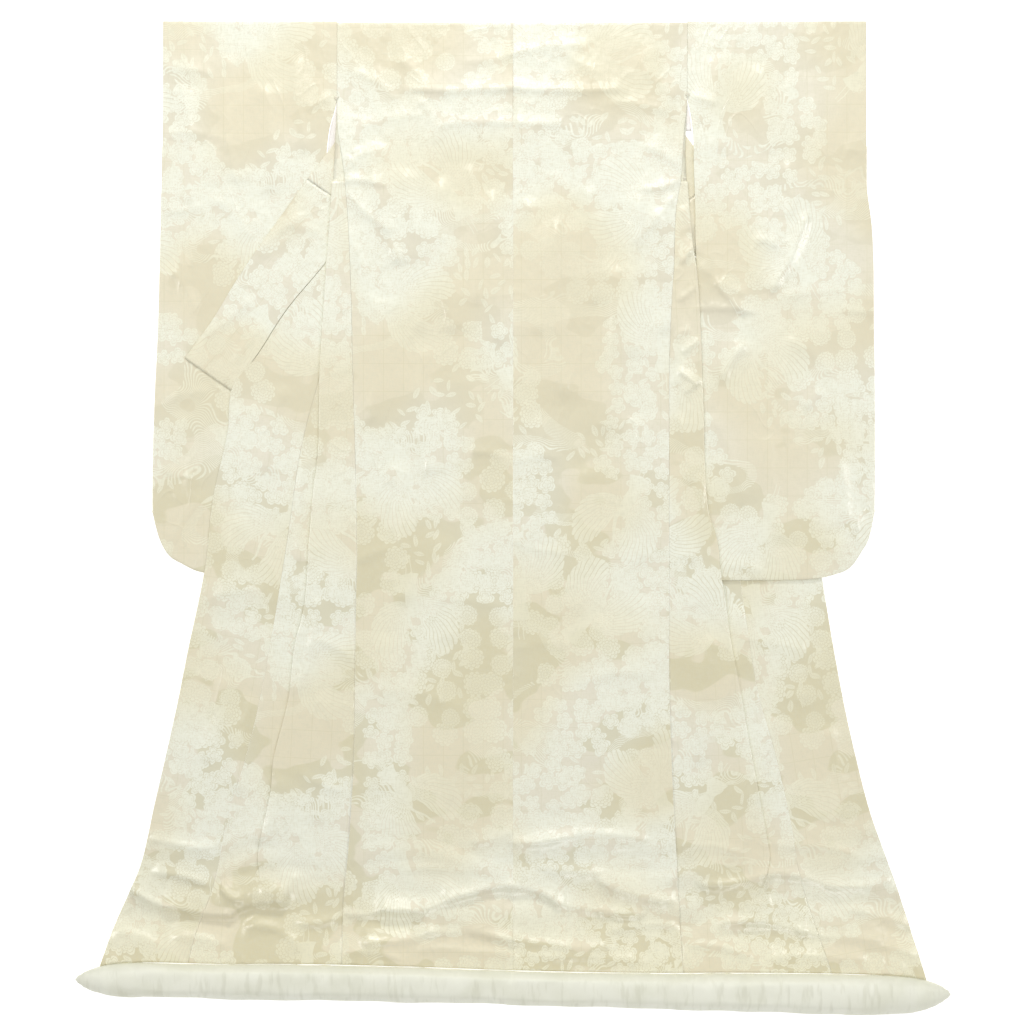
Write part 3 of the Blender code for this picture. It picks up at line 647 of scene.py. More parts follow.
def front_section(half, up):
    """Across and height of the front at one row: seam, pleat out, return, and out again."""
    upper_count, turn_count, middle_count, _, lower_count = PLEAT_PARTS
    total = sum(PLEAT_PARTS)
    seam, fold, turn, end = (
        float(curve(half[name], up))
        for name in ("side_seam", "pleat_fold", "pleat_turn", "okumi_seam")
    )
    upper = seam + SEAM_GAP / 2 + (fold - seam - 2) * shares(upper_count)
    middle = fold - 2 - (fold - turn - 4) * shares(middle_count)
    lower = turn + 2 + (end - SEAM_GAP / 2 - turn - 2) * spread(150, 6)
    high, between, low = (
        top_height(half, upper, up), return_height(half, middle, up),
        front_height(half, lower, up))
    first, first_height = half_turn(fold, high[-1], between[0], 1, turn_count)
    second, second_height = half_turn(turn, between[-1], low[0], -1, turn_count)
    across = np.concatenate([upper, first, middle, second, lower])
    height = np.concatenate([high, first_height, between, second_height, low])

    places = [0, upper_count - 1, upper_count + turn_count, upper_count + turn_count
              + middle_count - 1, total - lower_count, total - 1]
    laid = np.interp(np.arange(total), places, [0, 0.6, 0.64, 0.7, 0.74, 1])
    laid = seam + SEAM_GAP / 2 + (end - seam - SEAM_GAP) * laid
    opened, level = eased(-620, -720, up), eased(-680, -780, up)
    laid_height = front_height(half, laid, up)
    across = across + (laid - across) * opened
    height = height + (laid_height - height) * level
    return across, height + seam_dip(across - seam) + seam_dip(end - across)


def front_panel(half, side):
    """The pleat starts where the slit ends, and the run to the overlap below the neck."""
    heights = fine_rows(SHOULDER - SHOULDER_TURN - SEAM_GAP, HEM)
    sections = [front_section(half, up) for up in heights]
    across = np.array([section[0] for section in sections])
    height = np.array([section[1] for section in sections])
    pleat = PLEAT_PARTS[0] + PLEAT_PARTS[1]
    hidden = pleat + PLEAT_PARTS[2] - 1

    def kept(row, column):
        in_pleat = (column < pleat) & (heights[row] <= SLIT_END)
        in_return = (column >= pleat) & (column < hidden)
        return in_pleat | in_return | ((column >= hidden) & (heights[row] <= RUN_OUT_TOP))

    return panel(f"front_{side}", half, across, heights[:, None], height, kept=kept)


def overlap_panel(half, side):
    """The okumi, sewn to the front, from its point at the collar to the hem."""
    up = fine_rows(KENSAKI - 8, HEM)[:, None]
    seam = curve(half["okumi_seam"], up) + SEAM_GAP / 2
    edge = curve(half["front_edge"], up) - SEAM_GAP / 2
    across = seam + (edge - seam) * spread(150)
    height = front_height(half, across, up) + seam_dip(across - seam)
    return panel(f"okumi_{side}", half, across, up, height)


def sleeve(half, side):
    """A flat bag: folded at the shoulder, sewn below the cuff and along the rounded bottom."""
    part = spread(330)
    columns = len(part)
    top = SHOULDER - FLOOR_CLOTH
    down = np.interp(fine_rows(top, SLEEVE_END), [SLEEVE_END, top], [1, 0])[:, None]
    rows = len(down)
    up = top - down * (top - curve(half["sleeve_corner"], part))
    inner = curve(half["sleeve_inner"], up) + SEAM_GAP / 2
    outer = curve(half["sleeve_outer"], up) - FLOOR_CLOTH
    across = inner + (outer - inner) * part
    lower = FLOOR_CLOTH + sleeve_lift(half, across, up)
    lower = lower + np.maximum(soft_relief(half["sign"] * across, up), 0)
    places = np.stack([across, up, lower], axis=-1)
    upper = places + (0, 0, LAYER)
    points = np.concatenate([places.reshape(-1, 3), upper.reshape(-1, 3)])
    layer = rows * columns
    faces = [grid_faces(rows, columns), grid_faces(rows, columns, layer)]

    closed_from = int(np.argmax(up[:, -1] <= CUFF_END))
    along_top = [(0, column) for column in range(columns)]
    along_side = [(row, columns - 1) for row in range(closed_from, rows)]
    along_side += [(rows - 1, column) for column in range(columns - 2, -1, -1)]
    radius = LAYER / 2
    for line in (along_top, along_side):
        row, column = np.array(line).T
        here = places[row, column]
        inside_row = np.where(row == 0, 1, np.minimum(row, rows - 2))
        inside_column = np.where(row == 0, column, np.minimum(column, columns - 2))
        away = here[:, :2] - places[inside_row, inside_column, :2]
        away = away / np.maximum(np.linalg.norm(away, axis=1), 1e-6)[:, None]
        rings = [row * columns + column]
        for angle in np.radians([-45, 0, 45]):
            rim = np.column_stack([here[:, :2] + away * radius * math.cos(angle),
                                   here[:, 2] + radius * (1 + math.sin(angle))])
            rings.append(len(points) + np.arange(len(line)))
            points = np.concatenate([points, rim])
        rings.append(row * columns + column + layer)
        for low, high in zip(rings, rings[1:]):
            faces.append(np.stack([low[:-1], low[1:], high[1:], high[:-1]], axis=1))
    points[:, 0] *= half["sign"]
    return add_cloth(f"sleeve_{side}", points, np.concatenate(faces), outward=True)


def collar_strip(piece, half, start, end):
    """A straight stretch of the collar, from its seam edge to its free edge."""
    seam_up = np.linspace(end, start, int((end - start) / 4) + 2)[:, None]
    width = curve(COLLAR_WIDTH, seam_up)
    part = spread(120)
    across = curve(COLLAR_SEAM, seam_up) + SEAM_GAP + 0.82 * width * part
    up = seam_up + SEAM_GAP + 0.57 * width * part
    height = front_height(half, across, up) + seam_dip(width * part)
    height = height + 2.4 * seam_dip((width - width * part) / 2)
    if start == COLLAR_END:
        height = height + 2.4 * seam_dip((seam_up - start) / 2)
    return panel(piece, half, across, up, height)


def neck_collar():
    """The middle of the collar, flat under the back of the neck."""
    width = float(curve(COLLAR_WIDTH, NECK_SEAM))
    seam_x = float(curve(COLLAR_SEAM, NECK_SEAM)) + SEAM_GAP - 2
    free_x = seam_x + 0.82 * width
    share = np.linspace(-1, 1, 61)[:, None]
    size, sign = np.abs(share), np.sign(share)
    bow = np.sqrt(1 - 0.98 * size ** 2)
    part = spread(120, 9)
    seam, free = sign * seam_x * size, sign * free_x * size ** 0.8
    base = NECK_SEAM + SEAM_GAP + 1
    across = seam + (free - seam) * part
    up = base + 40 * bow + (0.57 * width - 18 * bow) * part
    return panel("over_collar_neck", RIGHT, across, up, FLOOR_CLOTH)


def slit_lining(half, side):
    """The white lining that shows through the slit below the armhole."""
    up = fine_rows(*half["lining"])[:, None]
    inner = curve(half["pleat_fold"], up) - 2 + 2 * SEAM_GAP
    outer = np.maximum(curve(half["sleeve_inner"], up) - 2, inner + 1)
    across = inner + (outer - inner) * shares(5)
    return panel(f"lining_{side}", half, across, up, FLOOR_CLOTH)


def hem_roll():
    """The padded roll of lining along the hem, flat under and drawn to a point at each end."""
    stations = np.concatenate([[-815, -811, -804, -795, -786], np.linspace(-776, 776, 180),
                               [786, 795, 804, 811, 815]])
    width, middle = roll_width(stations)[:, None], roll_middle(stations)[:, None]
    angle = math.tau * np.arange(ROLL_SIDES) / ROLL_SIDES
    rise = ROLL_SEAM_SHARE + (1 - ROLL_SEAM_SHARE) * np.sin(angle)
    under = ROLL_SEAM_SHARE * (1 - np.minimum(1, np.maximum(0, -1.5 * np.sin(angle))) ** 1.6)
    z = 1 + ROLL_START * ROLL_HEIGHT_SHARE * width * np.where(np.sin(angle) < 0, under, rise)
    x = np.broadcast_to(stations[:, None], z.shape)
    y = middle + ROLL_START * width / 2 * np.cos(angle)
    points = np.stack([x, y, z], axis=-1).reshape(-1, 3)
    rings = np.arange(len(points)).reshape(-1, ROLL_SIDES)
    first, second = rings[:-1], rings[1:]
    faces = np.stack([first, second, np.roll(second, -1, 1), np.roll(first, -1, 1)], axis=-1)
    faces = faces.reshape(-1, 4).tolist() + [rings[0].tolist(), rings[-1].tolist()]
    obj = new_object("hem_roll_silk", points, faces, outward=True)
    fill_roll(obj)
    shape_roll(obj)
    softer = obj.modifiers.new("Softer", "SUBSURF")
    softer.levels = softer.render_levels = 1
    obj.data.shade_smooth()
    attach(obj, "root")
    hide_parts("hem_roll")
    return obj


def baked(obj):
    """The object's mesh with its modifiers applied."""
    view = bpy.context.evaluated_depsgraph_get()
    view.update()
    return bpy.data.meshes.new_from_object(obj.evaluated_get(view))


def coordinates(mesh):
    flat = np.empty(len(mesh.vertices) * 3)
    mesh.vertices.foreach_get("co", flat)
    return flat.reshape(-1, 3)


def fill_roll(obj):
    """The padding swells the roll: a short run of cloth under pressure, kept within a limit."""
    remesh = obj.modifiers.new("Even", "REMESH")
    remesh.mode = "VOXEL"
    remesh.voxel_size = ROLL_VOXEL * MM
    even = baked(obj)
    obj.modifiers.clear()
    obj.data = even
    before = coordinates(even)
    cloth = obj.modifiers.new("Padding", "CLOTH")
    cloth.settings.quality = 4
    cloth.settings.mass = 0.2
    cloth.settings.use_pressure = True
    cloth.settings.uniform_pressure_force = 4
    cloth.settings.effector_weights.gravity = 0
    cloth.point_cache.frame_start, cloth.point_cache.frame_end = 1, PADDING_STEPS
    for step in range(1, PADDING_STEPS + 1):
        bpy.context.scene.frame_set(step)
    after = coordinates(baked(obj))
    obj.modifiers.clear()
    bpy.context.scene.frame_set(1)
    move = after - before
    length = np.linalg.norm(move, axis=1, keepdims=True)
    move *= np.minimum(1, MOST_SWELL * MM / np.maximum(length, 1e-9))
    even.vertices.foreach_set("co", (before + move).ravel())
    even.update()


def shape_roll(obj):
    """Bring the roll to its width, with gathers and puckers at the seam."""
    x, y, z = (coordinates(obj.data) / MM).T
    middle, width = roll_middle(x), np.maximum(roll_width(x), 4)
    side = ROLL_REACH * (y - middle) / (ROLL_START * width / 2)
    z = np.maximum(z, 0.2)
    seam_side = np.clip((side + 0.55) / 1.5, 0, 1) ** 1.5
    for pucker in map(Pucker._make, PUCKERS):
        drift = pucker.across + 5 * (1 - side) * math.sin(pucker.across)
        near = np.exp(-((x - drift) / pucker.half_width) ** 2)
        z = z - 2.6 * pucker.depth * near * seam_side * (z > 4)
    gather = np.sin(x / 2.9 + 1.8 * np.sin(x / 31) + 0.5 * side)
    gather = gather * (0.55 + 0.45 * np.sin(x / 57) * np.sin(x / 23 + 2))
    z = z + 0.75 * gather * np.clip((side + 0.9) / 1.6, 0, 1) * (z > 4)
    lull = 0.9 * np.sin(x / 61 + 1) + 0.5 * np.sin(x / 37) + 0.35 * np.sin(x / 19 + 2 + y / 30)
    z = z + lull * np.clip(z / 25, 0, 1)
    limit = ROLL_HEIGHT_SHARE * width
    z = np.where(z > limit, limit + 0.25 * (z - limit), z)
    edge = 1 + 0.02 * np.sin(x / 43) + 0.015 * np.sin(x / 17 + 1)
    held = np.where(side < 0, np.maximum(side * edge, -1.03), np.minimum(side, 1))
    place = np.stack([np.clip(x, -815, 815), middle + held * width / 2, z], axis=1)
    obj.data.vertices.foreach_set("co", (place * MM).ravel())
    # How much painted shade the roll's silk gets: 1 along the seam side, where the roll meets the
    # skirt.
    painted_seam_shade = obj.data.attributes.new("painted_seam_shade", "FLOAT", "POINT")
    painted_seam_shade.data.foreach_set("value", np.clip((side - 0.5) / 0.42, 0, 1).astype(np.float32))
    obj.data.update()


def tacks():
    """The small stitches that close the ends of the two slits."""
    for name, spots in TACKS.items():
        points, faces = [], []
        for x, y, height in spots:
            for across in (-1.6, 0, 1.6):
                start = len(points)
                for share in np.linspace(0, 1, 7):
                    bow = 1.6 * math.sin(math.pi * share)
                    for angle in np.linspace(0, math.tau, 7)[:-1]:
                        points.append((x - 4 + 8 * share + 0.5 * across * share,
                                       y + across + 0.45 * math.cos(angle),
                                       height + bow + 0.45 * math.sin(angle)))
                for ring in range(6):
                    for side in range(6):
                        a, b = start + ring * 6 + side, start + ring * 6 + (side + 1) % 6
                        faces.append([a, b, b + 6, a + 6])
        obj = new_object(name, points, faces)
        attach(obj, "root")
        obj.data.materials.append(twisted_thread())


def paint(code):
    """A linear colour from its sRGB hex value."""
    parts = [int(code[place:place + 2], 16) / 255 for place in (1, 3, 5)]
    linear = [part / 12.92 if part <= 0.04045 else ((part + 0.055) / 1.055) ** 2.4
              for part in parts]
    return (*linear, 1)


def add_node(tree, kind, *values, **named):
    """Add a node such as Math.ADD, with values or links for its sockets, and give its output."""
    name, _, choice = kind.partition(".")
    made = tree.nodes.new("ShaderNode" + name)
    if choice:
        setattr(made, CHOICE_OF[name], choice)
    for key in [key for key in named if key not in made.inputs]:
        setattr(made, key, named.pop(key))
    in_use = [socket for socket in made.inputs if socket.enabled]
    pairs = [*zip(in_use, values), *((made.inputs[key], named[key]) for key in named)]
    for socket, value in pairs:
        if isinstance(value, bpy.types.NodeSocket):
            tree.links.new(value, socket)
        else:
            socket.default_value = value
    return next(socket for socket in made.outputs if socket.enabled)


def within(add, value, limit, soft):
    """0 where value is past the limit, and up to 1 over the soft width below the limit."""
    return add("Math.DIVIDE", add("Math.SUBTRACT", limit, value), soft, use_clamp=True)


def noise(add, place, length, detail=0.0, stretch=(1, 1, 1), distortion=0.0):
    """Noise whose features are about this long, in mm."""
    stretched = add("VectorMath.MULTIPLY", place, [part / length for part in stretch])
    return add("TexNoise", Vector=stretched, Scale=1.0, Detail=detail, Distortion=distortion)


def motif_field(add, place, cell, randomness):
    """Cells for one kind of motif: the place in the cell, its middle, and random numbers."""
    cells = add("TexVoronoi", Vector=place, Scale=1 / cell, Randomness=randomness,
                voronoi_dimensions="2D").node.outputs
    middle = cells["Position"]
    chance = add("SeparateColor", cells["Color"]).node.outputs
    local = add("VectorMath.SUBTRACT", place, middle)
    turn = add("Math.MULTIPLY", chance[0], math.tau)
    turned = add("VectorRotate", Vector=local, Angle=turn, rotation_type="Z_AXIS")
    return turned, middle, chance


def polar(add, local):
    """Across, along, distance and angle from the middle of a motif."""
    across, along, _ = add("SeparateXYZ", local).node.outputs
    radius = add("VectorMath.LENGTH", add("VectorMath.MULTIPLY", local, (1, 1, 0)))
    return across, along, radius, add("Math.ARCTAN2", across, along)


def petal_wave(add, angle, times, shift=0.0):
    """The size of a cosine of the angle: one bump for each petal."""
    return add("Math.ABSOLUTE", add("Math.COSINE", add(
        "Math.MULTIPLY_ADD", angle, times, shift)))


def less_lines(add, filled, lines):
    """A filled shape with lines of the ground drawn in it."""
    return add("Math.MULTIPLY", filled, add("Math.SUBTRACT", 1.0, lines))


def in_patch(add, filled, middle, length, least, channel):
    """Only the whole motifs whose middle lies in this kind of patch."""
    colour = noise(add, middle, length).node.outputs["Color"]
    field = add("SeparateColor", colour).node.outputs[channel]
    return add("Math.MULTIPLY", filled, add("Math.GREATER_THAN", field, least))


def blossoms(add, place):
    """Flowers in close clusters: five notched petals, each with fine inner lines."""
    local, middle, chance = motif_field(add, place, BLOSSOM_CELL, 0.7)
    _, _, radius, angle = polar(add, local)
    wave = petal_wave(add, angle, 2.5)
    size = add("Math.MULTIPLY_ADD", chance[1], 4.0, 15.0)
    notch = within(add, petal_wave(add, angle, 2.5, math.pi / 2), 0.16, 0.16)
    edge = add("Math.MULTIPLY", size, add("Math.MULTIPLY_ADD", wave, 0.34, 0.7))
    edge = add("Math.MULTIPLY_ADD", notch, -1.6, edge)
    lines = within(add, wave, 0.13, 0.09)
    for share, width in ((0.74, 0.75), (0.44, 0.7)):
        off = add("Math.SUBTRACT", radius, add("Math.MULTIPLY", edge, share))
        lines = add("Math.MAXIMUM", lines, within(add, add("Math.ABSOLUTE", off), width, 0.5))
    stamens = within(add, petal_wave(add, angle, 7.5), 0.3, 0.2)
    stamens = add("Math.MULTIPLY", stamens, within(add, radius, 4.6, 0.8))
    filled = in_patch(add, within(add, radius, edge, 0.9), middle, 190, 0.5, 0)
    return less_lines(add, filled, add("Math.MAXIMUM", lines, stamens))


def chrysanthemums(add, place):
    """Full round flowers: rings of petals drawn as scalloped lines."""
    local, middle, chance = motif_field(add, place, CHRYSANTHEMUM_CELL, 0.6)
    _, _, radius, angle = polar(add, local)
    level = add("Math.DIVIDE", radius, PETAL_RING)
    half_step = add("Math.MULTIPLY", add("Math.FLOOR", level), math.pi / 2)
    wave = petal_wave(add, angle, 6.0, half_step)
    off = add("Math.SUBTRACT", add("Math.FRACT", level), add("Math.MULTIPLY_ADD", wave, 0.6, 0.2))
    rings = within(add, add("Math.ABSOLUTE", off), 0.17, 0.1)
    lines = add("Math.MAXIMUM", rings, within(add, wave, 0.16, 0.1))
    size = add("Math.MULTIPLY_ADD", chance[1], 7.0, 19.0)
    scallop = add("Math.MULTIPLY_ADD", petal_wave(add, angle, 6.0), 0.14, 0.88)
    edge = add("Math.MULTIPLY", size, scallop)
    filled = in_patch(add, within(add, radius, edge, 1.0), middle, 210, 0.53, 1)
    return less_lines(add, filled, lines)


def leaves(add, place):
    """Pointed leaves with a middle vein and side veins."""
    local, middle, chance = motif_field(add, place, LEAF_CELL, 0.9)
    across, along, _, _ = polar(add, local)
    part = add("Math.DIVIDE", along, LEAF_HALF_LENGTH)
    taper = add("Math.SUBTRACT", 1.0, add("Math.MULTIPLY", part, part))
    half_width = add("Math.MULTIPLY", taper, add("Math.MULTIPLY_ADD", chance[1], 2.0, 3.6))
    side = add("Math.ABSOLUTE", across)
    slanted = add("Math.FRACT", add("Math.DIVIDE", add("Math.ADD", along, side), 3.6))
    veins = add("Math.MAXIMUM", within(add, side, 0.5, 0.4), within(add, slanted, 0.2, 0.1))
    filled = in_patch(add, within(add, side, half_width, 0.7), middle, 170, 0.53, 2)
    return less_lines(add, filled, veins)


def wing(add, radius, angle):
    """A fan of long feathers with rows of short ones near the body, on both sides."""
    swept = add("Math.MULTIPLY_ADD", radius, 0.0052, add("Math.ABSOLUTE", angle))
    part = add("Math.DIVIDE", add("Math.SUBTRACT", swept, 0.5), 1.5)
    held = add("Math.MAXIMUM", add("Math.MINIMUM", part, 1.0), 0.0)
    fan = add("Math.SINE", add("Math.MULTIPLY", held, math.pi))
    length = add("Math.MULTIPLY", add("Math.POWER", fan, 0.55),
                 add("Math.MULTIPLY_ADD", part, -38.0, 128.0))
    feather = petal_wave(add, swept, 31.0)
    reach = add("Math.MULTIPLY_ADD", feather, 5.0, length)
    filled = add("Math.MULTIPLY", within(add, radius, reach, 1.2),
                 add("Math.GREATER_THAN", fan, 0.04))
    row = add("Math.MULTIPLY", petal_wave(add, swept, 21.0), 0.75)
    row = add("Math.FRACT", add("Math.ADD", add("Math.DIVIDE", radius, 9.0), row))
    outer = add("Math.GREATER_THAN", radius, add("Math.MULTIPLY", reach, 0.46))
    lines = add("Mix.FLOAT", outer, within(add, row, 0.26, 0.12), within(add, feather, 0.34, 0.2))
    return filled, lines


def between(add, value, low, high):
    return add("Math.MULTIPLY", add("Math.GREATER_THAN", value, low),
               add("Math.LESS_THAN", value, high))


def cranes(add, place):
    """Flying cranes: two raised wings, an oval body, a bent neck, and legs behind."""
    local, _, chance = motif_field(add, place, CRANE_CELL, 0.6)
    across, along, radius, angle = polar(add, local)
    wings, lines = wing(add, radius, angle)
    wide = add("Math.DIVIDE", across, 12.0)
    long = add("Math.DIVIDE", add("Math.ADD", along, 8.0), 33.0)
    oval = add("Math.ADD", add("Math.MULTIPLY", wide, wide), add("Math.MULTIPLY", long, long))
    body = within(add, oval, 1.0, 0.12)
    sway = add("Math.MULTIPLY", add("Math.SINE", add("Math.DIVIDE", along, 17.0)), 8.0)
    neck = within(add, add("Math.ABSOLUTE", add("Math.SUBTRACT", across, sway)),
                  add("Math.MULTIPLY_ADD", along, -0.025, 4.6), 0.8)
    neck = add("Math.MULTIPLY", neck, between(add, along, 14.0, 82.0))
    beside = add("Math.SUBTRACT", add("Math.ABSOLUTE", across), 4.0)
    legs = within(add, add("Math.ABSOLUTE", beside), 1.1, 0.6)
    legs = add("Math.MULTIPLY", legs, between(add, along, -92.0, -30.0))
    behind = add("Math.GREATER_THAN", add("Math.ABSOLUTE", angle), 2.8)
    tail = add("Math.MULTIPLY", within(add, radius, 58.0, 1.0), behind)
    plain = body
    for part in (tail, neck, legs):
        plain = add("Math.MAXIMUM", plain, part)
    flies = add("Math.GREATER_THAN", chance[2], 0.16)
    drawn = add("Math.MAXIMUM", less_lines(add, wings, lines), plain)
    covered = add("Math.MAXIMUM", wings, plain)
    return add("Math.MULTIPLY", drawn, flies), add("Math.MULTIPLY", covered, flies)


def streams(add, place):
    """Ribbons of fine flowing lines."""
    up = add("SeparateXYZ", place).node.outputs["Y"]
    sway = add("Math.MULTIPLY", noise(add, place, 70), 26.0)
    flow = add("Math.ADD", add("Math.DIVIDE", up, STREAM_PITCH), sway)
    line = add("Math.ABSOLUTE", add("Math.SUBTRACT", add("Math.FRACT", flow), 0.5))
    field = noise(add, place, 260, 1.0, stretch=(1, 1.8, 1))
    ribbon = add("Math.ABSOLUTE", add("Math.SUBTRACT", field, 0.56))
    return add("Math.MULTIPLY", within(add, line, 0.27, 0.12), within(add, ribbon, 0.03, 0.002))


def lattice(add, place):
    """Fine upright and level lines that are woven in the mist."""
    across, up, _ = add("SeparateXYZ", place).node.outputs
    lines = []
    for along, pitch in zip((across, up), LATTICE_PITCH):
        part = add("Math.FRACT", add("Math.DIVIDE", along, pitch))
        off = add("Math.ABSOLUTE", add("Math.SUBTRACT", part, 0.5))
        lines.append(within(add, off, 0.9 / pitch, 0.5 / pitch))
    return add("Math.MAXIMUM", *lines)


def silk(name, roughness=0.5):
    """A material whose constants suit silk, with what adds its nodes, and its shader."""
    material = bpy.data.materials.new(name)
    material.use_nodes = True
    tree = material.node_tree
    shader = tree.nodes["Principled BSDF"]
    for socket, value in {**SILK, "Roughness": roughness}.items():
        shader.inputs[socket].default_value = value
    return material, partial(add_node, tree), shader


def dress(add, shader, colour, relief=None):
    """Give the shader its colour, and a bump from a relief in mm."""
    links = shader.id_data.links
    links.new(colour, shader.inputs["Base Color"])
    if relief is not None:
        bump = add("Bump", Height=relief, Distance=MM, Strength=1.0)
        links.new(bump, shader.inputs["Normal"])


def millimetres(add, shift=(0, 0), turn=0.0):
    """Place on the cloth in mm, with the pattern moved and turned for this piece."""
    here = add("TexCoord").node.outputs["Object"]
    return add("Mapping", Vector=here, Scale=(1000, 1000, 1000), Location=(*shift, 0),
               Rotation=(0, 0, turn))


def wrinkles(add, place):
    """Thin crumple lines in patches, upright more than level."""
    bent = noise(add, place, 62, 1.0, stretch=(1, 0.55, 1), distortion=0.8)
    off = add("Math.ABSOLUTE", add("Math.SUBTRACT", bent, 0.5))
    ridge = add("Math.SUBTRACT", 1.0, add("Math.MULTIPLY", off, 15.0), use_clamp=True)
    patches = add("MapRange.SMOOTHSTEP", noise(add, place, 140), 0.45, 0.62)
    return add("Math.MULTIPLY", add("Math.MULTIPLY", ridge, ridge), patches)


def figured_satin(name, shift, turn):
    """Figured silk satin. Its ground is satin, with long soft glints, the figures are whiter
    and glossier floats of weft, and the mist between them is plain woven and duller."""
    material, add, shader = silk(name)
    place = millimetres(add, shift, turn)
    level = add("SeparateXYZ", add("TexCoord").node.outputs["Object"]).node.outputs["Y"]
    ripple = noise(add, place, 20).node.outputs["Color"]
    ripple = add("VectorMath.SUBTRACT", ripple, (0.5, 0.5, 0.5))
    drawn_at = add("VectorMath.ADD", place, add("VectorMath.MULTIPLY", ripple, (6, 6, 0)))
    cloud = noise(add, place, 150, 2.0, stretch=(0.8, 1.25, 1))
    mist = add("MapRange.SMOOTHSTEP", cloud, 0.47, 0.485)
    bird, bird_area = cranes(add, drawn_at)
    plants = streams(add, place)
    for motif in (leaves, chrysanthemums, blossoms):
        plants = add("Math.MAXIMUM", plants, motif(add, drawn_at))
    figure = add("Mix.FLOAT", bird_area, plants, bird)

    # Painted highlight and shade: the ground is paler towards the neck, where the light is
    # brightest, and darker lower down, where it falls off.
    lower = add("MapRange.SMOOTHSTEP", level, 0.4, -0.2)
    ground = add("Mix.RGBA", lower, paint(GROUND), paint(GROUND_LOW))
    base = add("Mix.RGBA", mist, ground, paint(MIST))
    grid = add("Math.MULTIPLY", add("Math.MULTIPLY", lattice(add, place), mist), 0.6)
    base = add("Mix.RGBA", grid, base, paint(GROUND_LOW))
    fade = noise(add, place, 200)
    strength = add("Math.MULTIPLY_ADD", fade, 1.7, 0.05, use_clamp=True)
    drawn = add("Math.MULTIPLY", figure, strength)
    colour = add("Mix.RGBA", drawn, base, paint(FIGURE))
    aged = add("MapRange.SMOOTHSTEP", fade, 0.65, 0.35)
    tint = add("Mix.RGBA", aged, paint("#ffffff"), paint(AGED))
    # Painted shade: the skirt is tinted warmer and darker towards the hem, where the light falls
    # off.
    hem_shade = add("MapRange.SMOOTHSTEP", level, -0.62, -0.84)
    tint = add("Mix.RGBA", hem_shade, tint, paint(HEM_SHADE))
    colour = add("Mix.RGBA", 1.0, colour, tint, blend_type="MULTIPLY")
    warp = noise(add, place, WARP_MM, stretch=(1, 0.25, 1))
    weft = noise(add, place, WEFT_MM, stretch=(0.2, 1, 1))
    weave = add("Math.ADD", warp, weft)
    shaded = add("Math.MULTIPLY_ADD", weave, 0.7, -0.6, use_clamp=True)
    colour = add("Mix.RGBA", shaded, colour, paint(GROUND_LOW))

    plain = add("Mix.FLOAT", mist, 0.3, 0.4)
    roughness = add("Mix.FLOAT", figure, plain, 0.28)
    shader.id_data.links.new(roughness, shader.inputs["Roughness"])
    slack = noise(add, place, 30, 1.0, stretch=(1, 0.6, 1))
    crumple = noise(add, place, 9, stretch=(1, 0.8, 1))
    relief = add("Math.MULTIPLY", weave, 0.07)
    for field, height in ((slack, 1.8), (crumple, 0.5), (wrinkles(add, place), 0.4)):
        relief = add("Math.MULTIPLY_ADD", field, height, relief)
    dress(add, shader, colour, relief)
    return material


def plain_silk(name, colour, shade, fold):
    """Plain woven silk of the lining and the roll: soft and dull, with an uneven tone, and with
    painted shade in its creases and along the seam side of the roll."""
    material, add, shader = silk(name, 0.55)
    place = millimetres(add)
    tone = add("MapRange.SMOOTHSTEP", noise(add, place, 60, 3.0), 0.35, 0.75)
    thread = noise(add, place, 1.0, 2.0, stretch=(0.2, 1, 1))
    mixed = add("Mix.RGBA", tone, paint(colour), paint(shade))
    mixed = add("Mix.RGBA", add("Math.MULTIPLY", thread, 0.2), mixed, paint(shade))
    pull = noise(add, place, 11, 2.0, stretch=(1, 0.22, 0.22))
    # Painted shade in the creases, where the pull lines dip.
    crease_shade = add("Math.MULTIPLY", add("MapRange.SMOOTHSTEP", pull, 0.5, 0.3), 0.3)
    # Painted shade along the seam side of the roll, where it meets the skirt.
    seam = add("Attribute", attribute_name="painted_seam_shade").node.outputs["Fac"]
    folded = add("Math.MAXIMUM", crease_shade, add("Math.MULTIPLY", seam, 0.5))
    # The last colour is mixed in as painted shade.
    mixed = add("Mix.RGBA", folded, mixed, paint(fold))
    relief = add("Math.MULTIPLY_ADD", pull, 1.3, add("Math.MULTIPLY", thread, 0.07))
    dress(add, shader, mixed, relief)
    return material


def twisted_thread():
    """Twisted silk sewing thread, with the light and dark of its turns as painted highlight and
    shade, in a tone that changes at random.
    """
    material, add, shader = silk("silk_thread")
    tone = noise(add, millimetres(add), 1.5, 1.0)
    dress(add, shader, add("Mix.RGBA", tone, paint("#f4f0e4"), paint("#dcd5c2")))
    return material


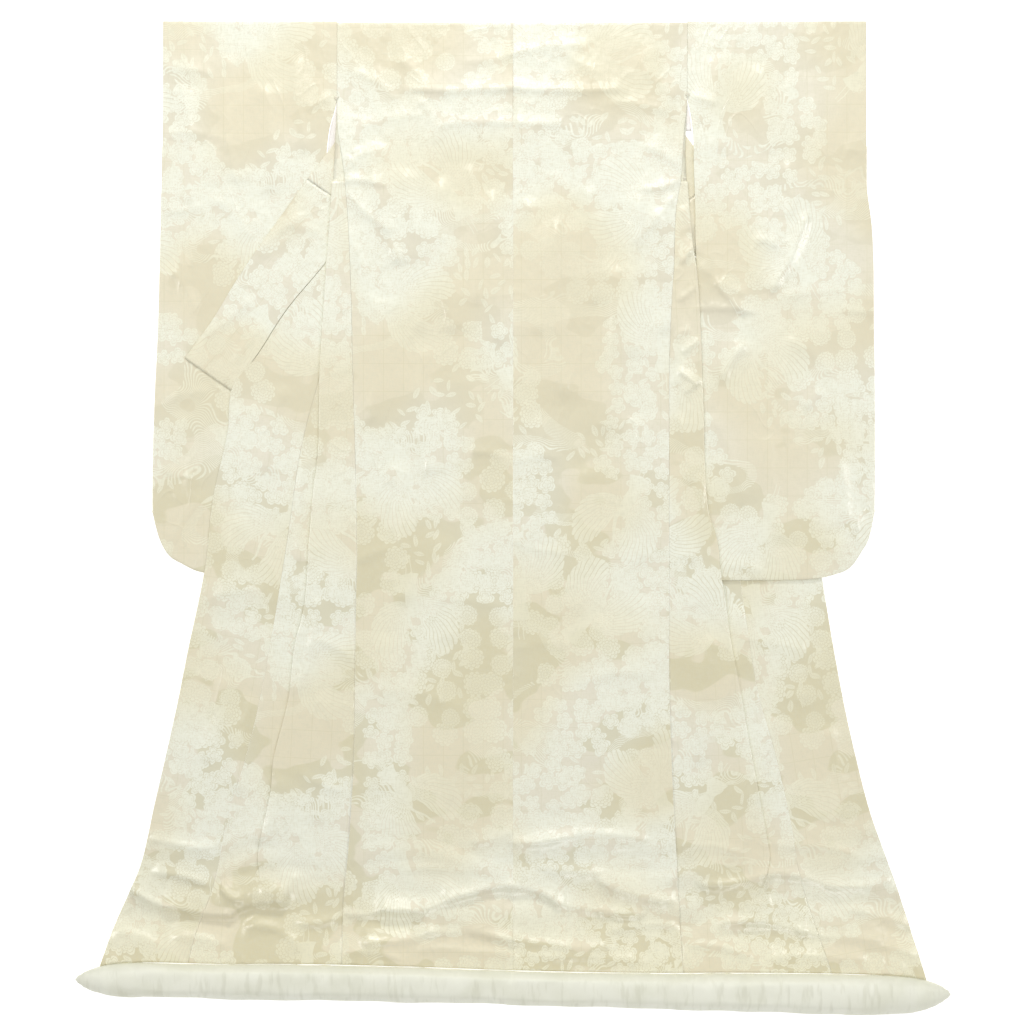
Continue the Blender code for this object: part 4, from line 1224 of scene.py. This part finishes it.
def make_cloth():
    """Every piece of the kimono, with its silk."""
    made = {}
    for half, side in ((LEFT, "left"), (RIGHT, "right")):
        for kind, make in (("back", back_panel), ("front", front_panel), ("okumi", overlap_panel),
                           ("sleeve", sleeve)):
            made[f"{kind}_{side}"] = make(half, side)
        for kind, start, end in (("collar", COLLAR_END, CROSS_SEAM - SEAM_GAP),
                                 ("over_collar", CROSS_SEAM, NECK_SEAM)):
            made[f"{kind}_{side}"] = collar_strip(f"{kind}_{side}", half, start, end)
    made["over_collar_neck"] = neck_collar()
    for name, obj in made.items():
        obj.data.materials.append(
            figured_satin(f"{name}_damask", PIECES[name].shift, PIECES[name].turn))
    # The lining's last colour is painted shade for its creases.
    white = plain_silk("white_lining", "#fbf8f4", "#efe9e2", "#efe9e2")
    for half, side in ((LEFT, "left"), (RIGHT, "right")):
        obj = slit_lining(half, side)
        obj.data.materials.append(white)
    roll = hem_roll()
    # The roll's last colour is painted shade for its creases and its seam side.
    roll.data.materials.append(plain_silk("roll_silk", "#f2f2e2", "#e9e9d6", "#cbcab2"))
    tacks()


def add_light(light):
    data = bpy.data.lights.new(light.name, "AREA")
    data.shape = "RECTANGLE"
    data.size, data.size_y = light.size
    data.energy = light.watts
    obj = bpy.data.objects.new(light.name, data)
    bpy.context.scene.collection.objects.link(obj)
    obj.location = light.place
    away = np.array(light.aim) - np.array(light.place)
    obj.rotation_euler = (math.acos(-away[2] / np.linalg.norm(away)), 0,
                          math.atan2(away[1], away[0]) - math.pi / 2)


def light_and_floor():
    """Soft boxes round a white board, under an even white sky."""
    scene = bpy.context.scene
    scene.view_settings.view_transform = "Standard"
    scene.world = bpy.data.worlds.new("studio")
    scene.world.use_nodes = True
    sky = scene.world.node_tree.nodes["Background"]
    sky.inputs["Color"].default_value = (1, 1, 1, 1)
    sky.inputs["Strength"].default_value = SKY_STRENGTH
    for light in LIGHTS:
        add_light(light)

    corners = [(-4000, -4000, 0), (4000, -4000, 0), (4000, 4000, 0), (-4000, 4000, 0)]
    floor = new_object("floor", corners, [[0, 1, 2, 3]])
    floor.location.z = -MM
    board, _, shader = silk("white_board", 0.9)
    shader.inputs["Base Color"].default_value = (0.6, 0.6, 0.6, 1)
    shader.inputs["Emission Color"].default_value = (1, 1, 1, 1)
    shader.inputs["Emission Strength"].default_value = 0.72
    floor.data.materials.append(board)


def camera():
    data = bpy.data.cameras.new("camera")
    data.lens, data.sensor_width = 100, 36
    obj = bpy.data.objects.new("camera", data)
    bpy.context.scene.collection.objects.link(obj)
    obj.location = (-0.0019, 0.0102, 5.29)
    bpy.context.scene.camera = obj


make_cloth()
light_and_floor()
camera()
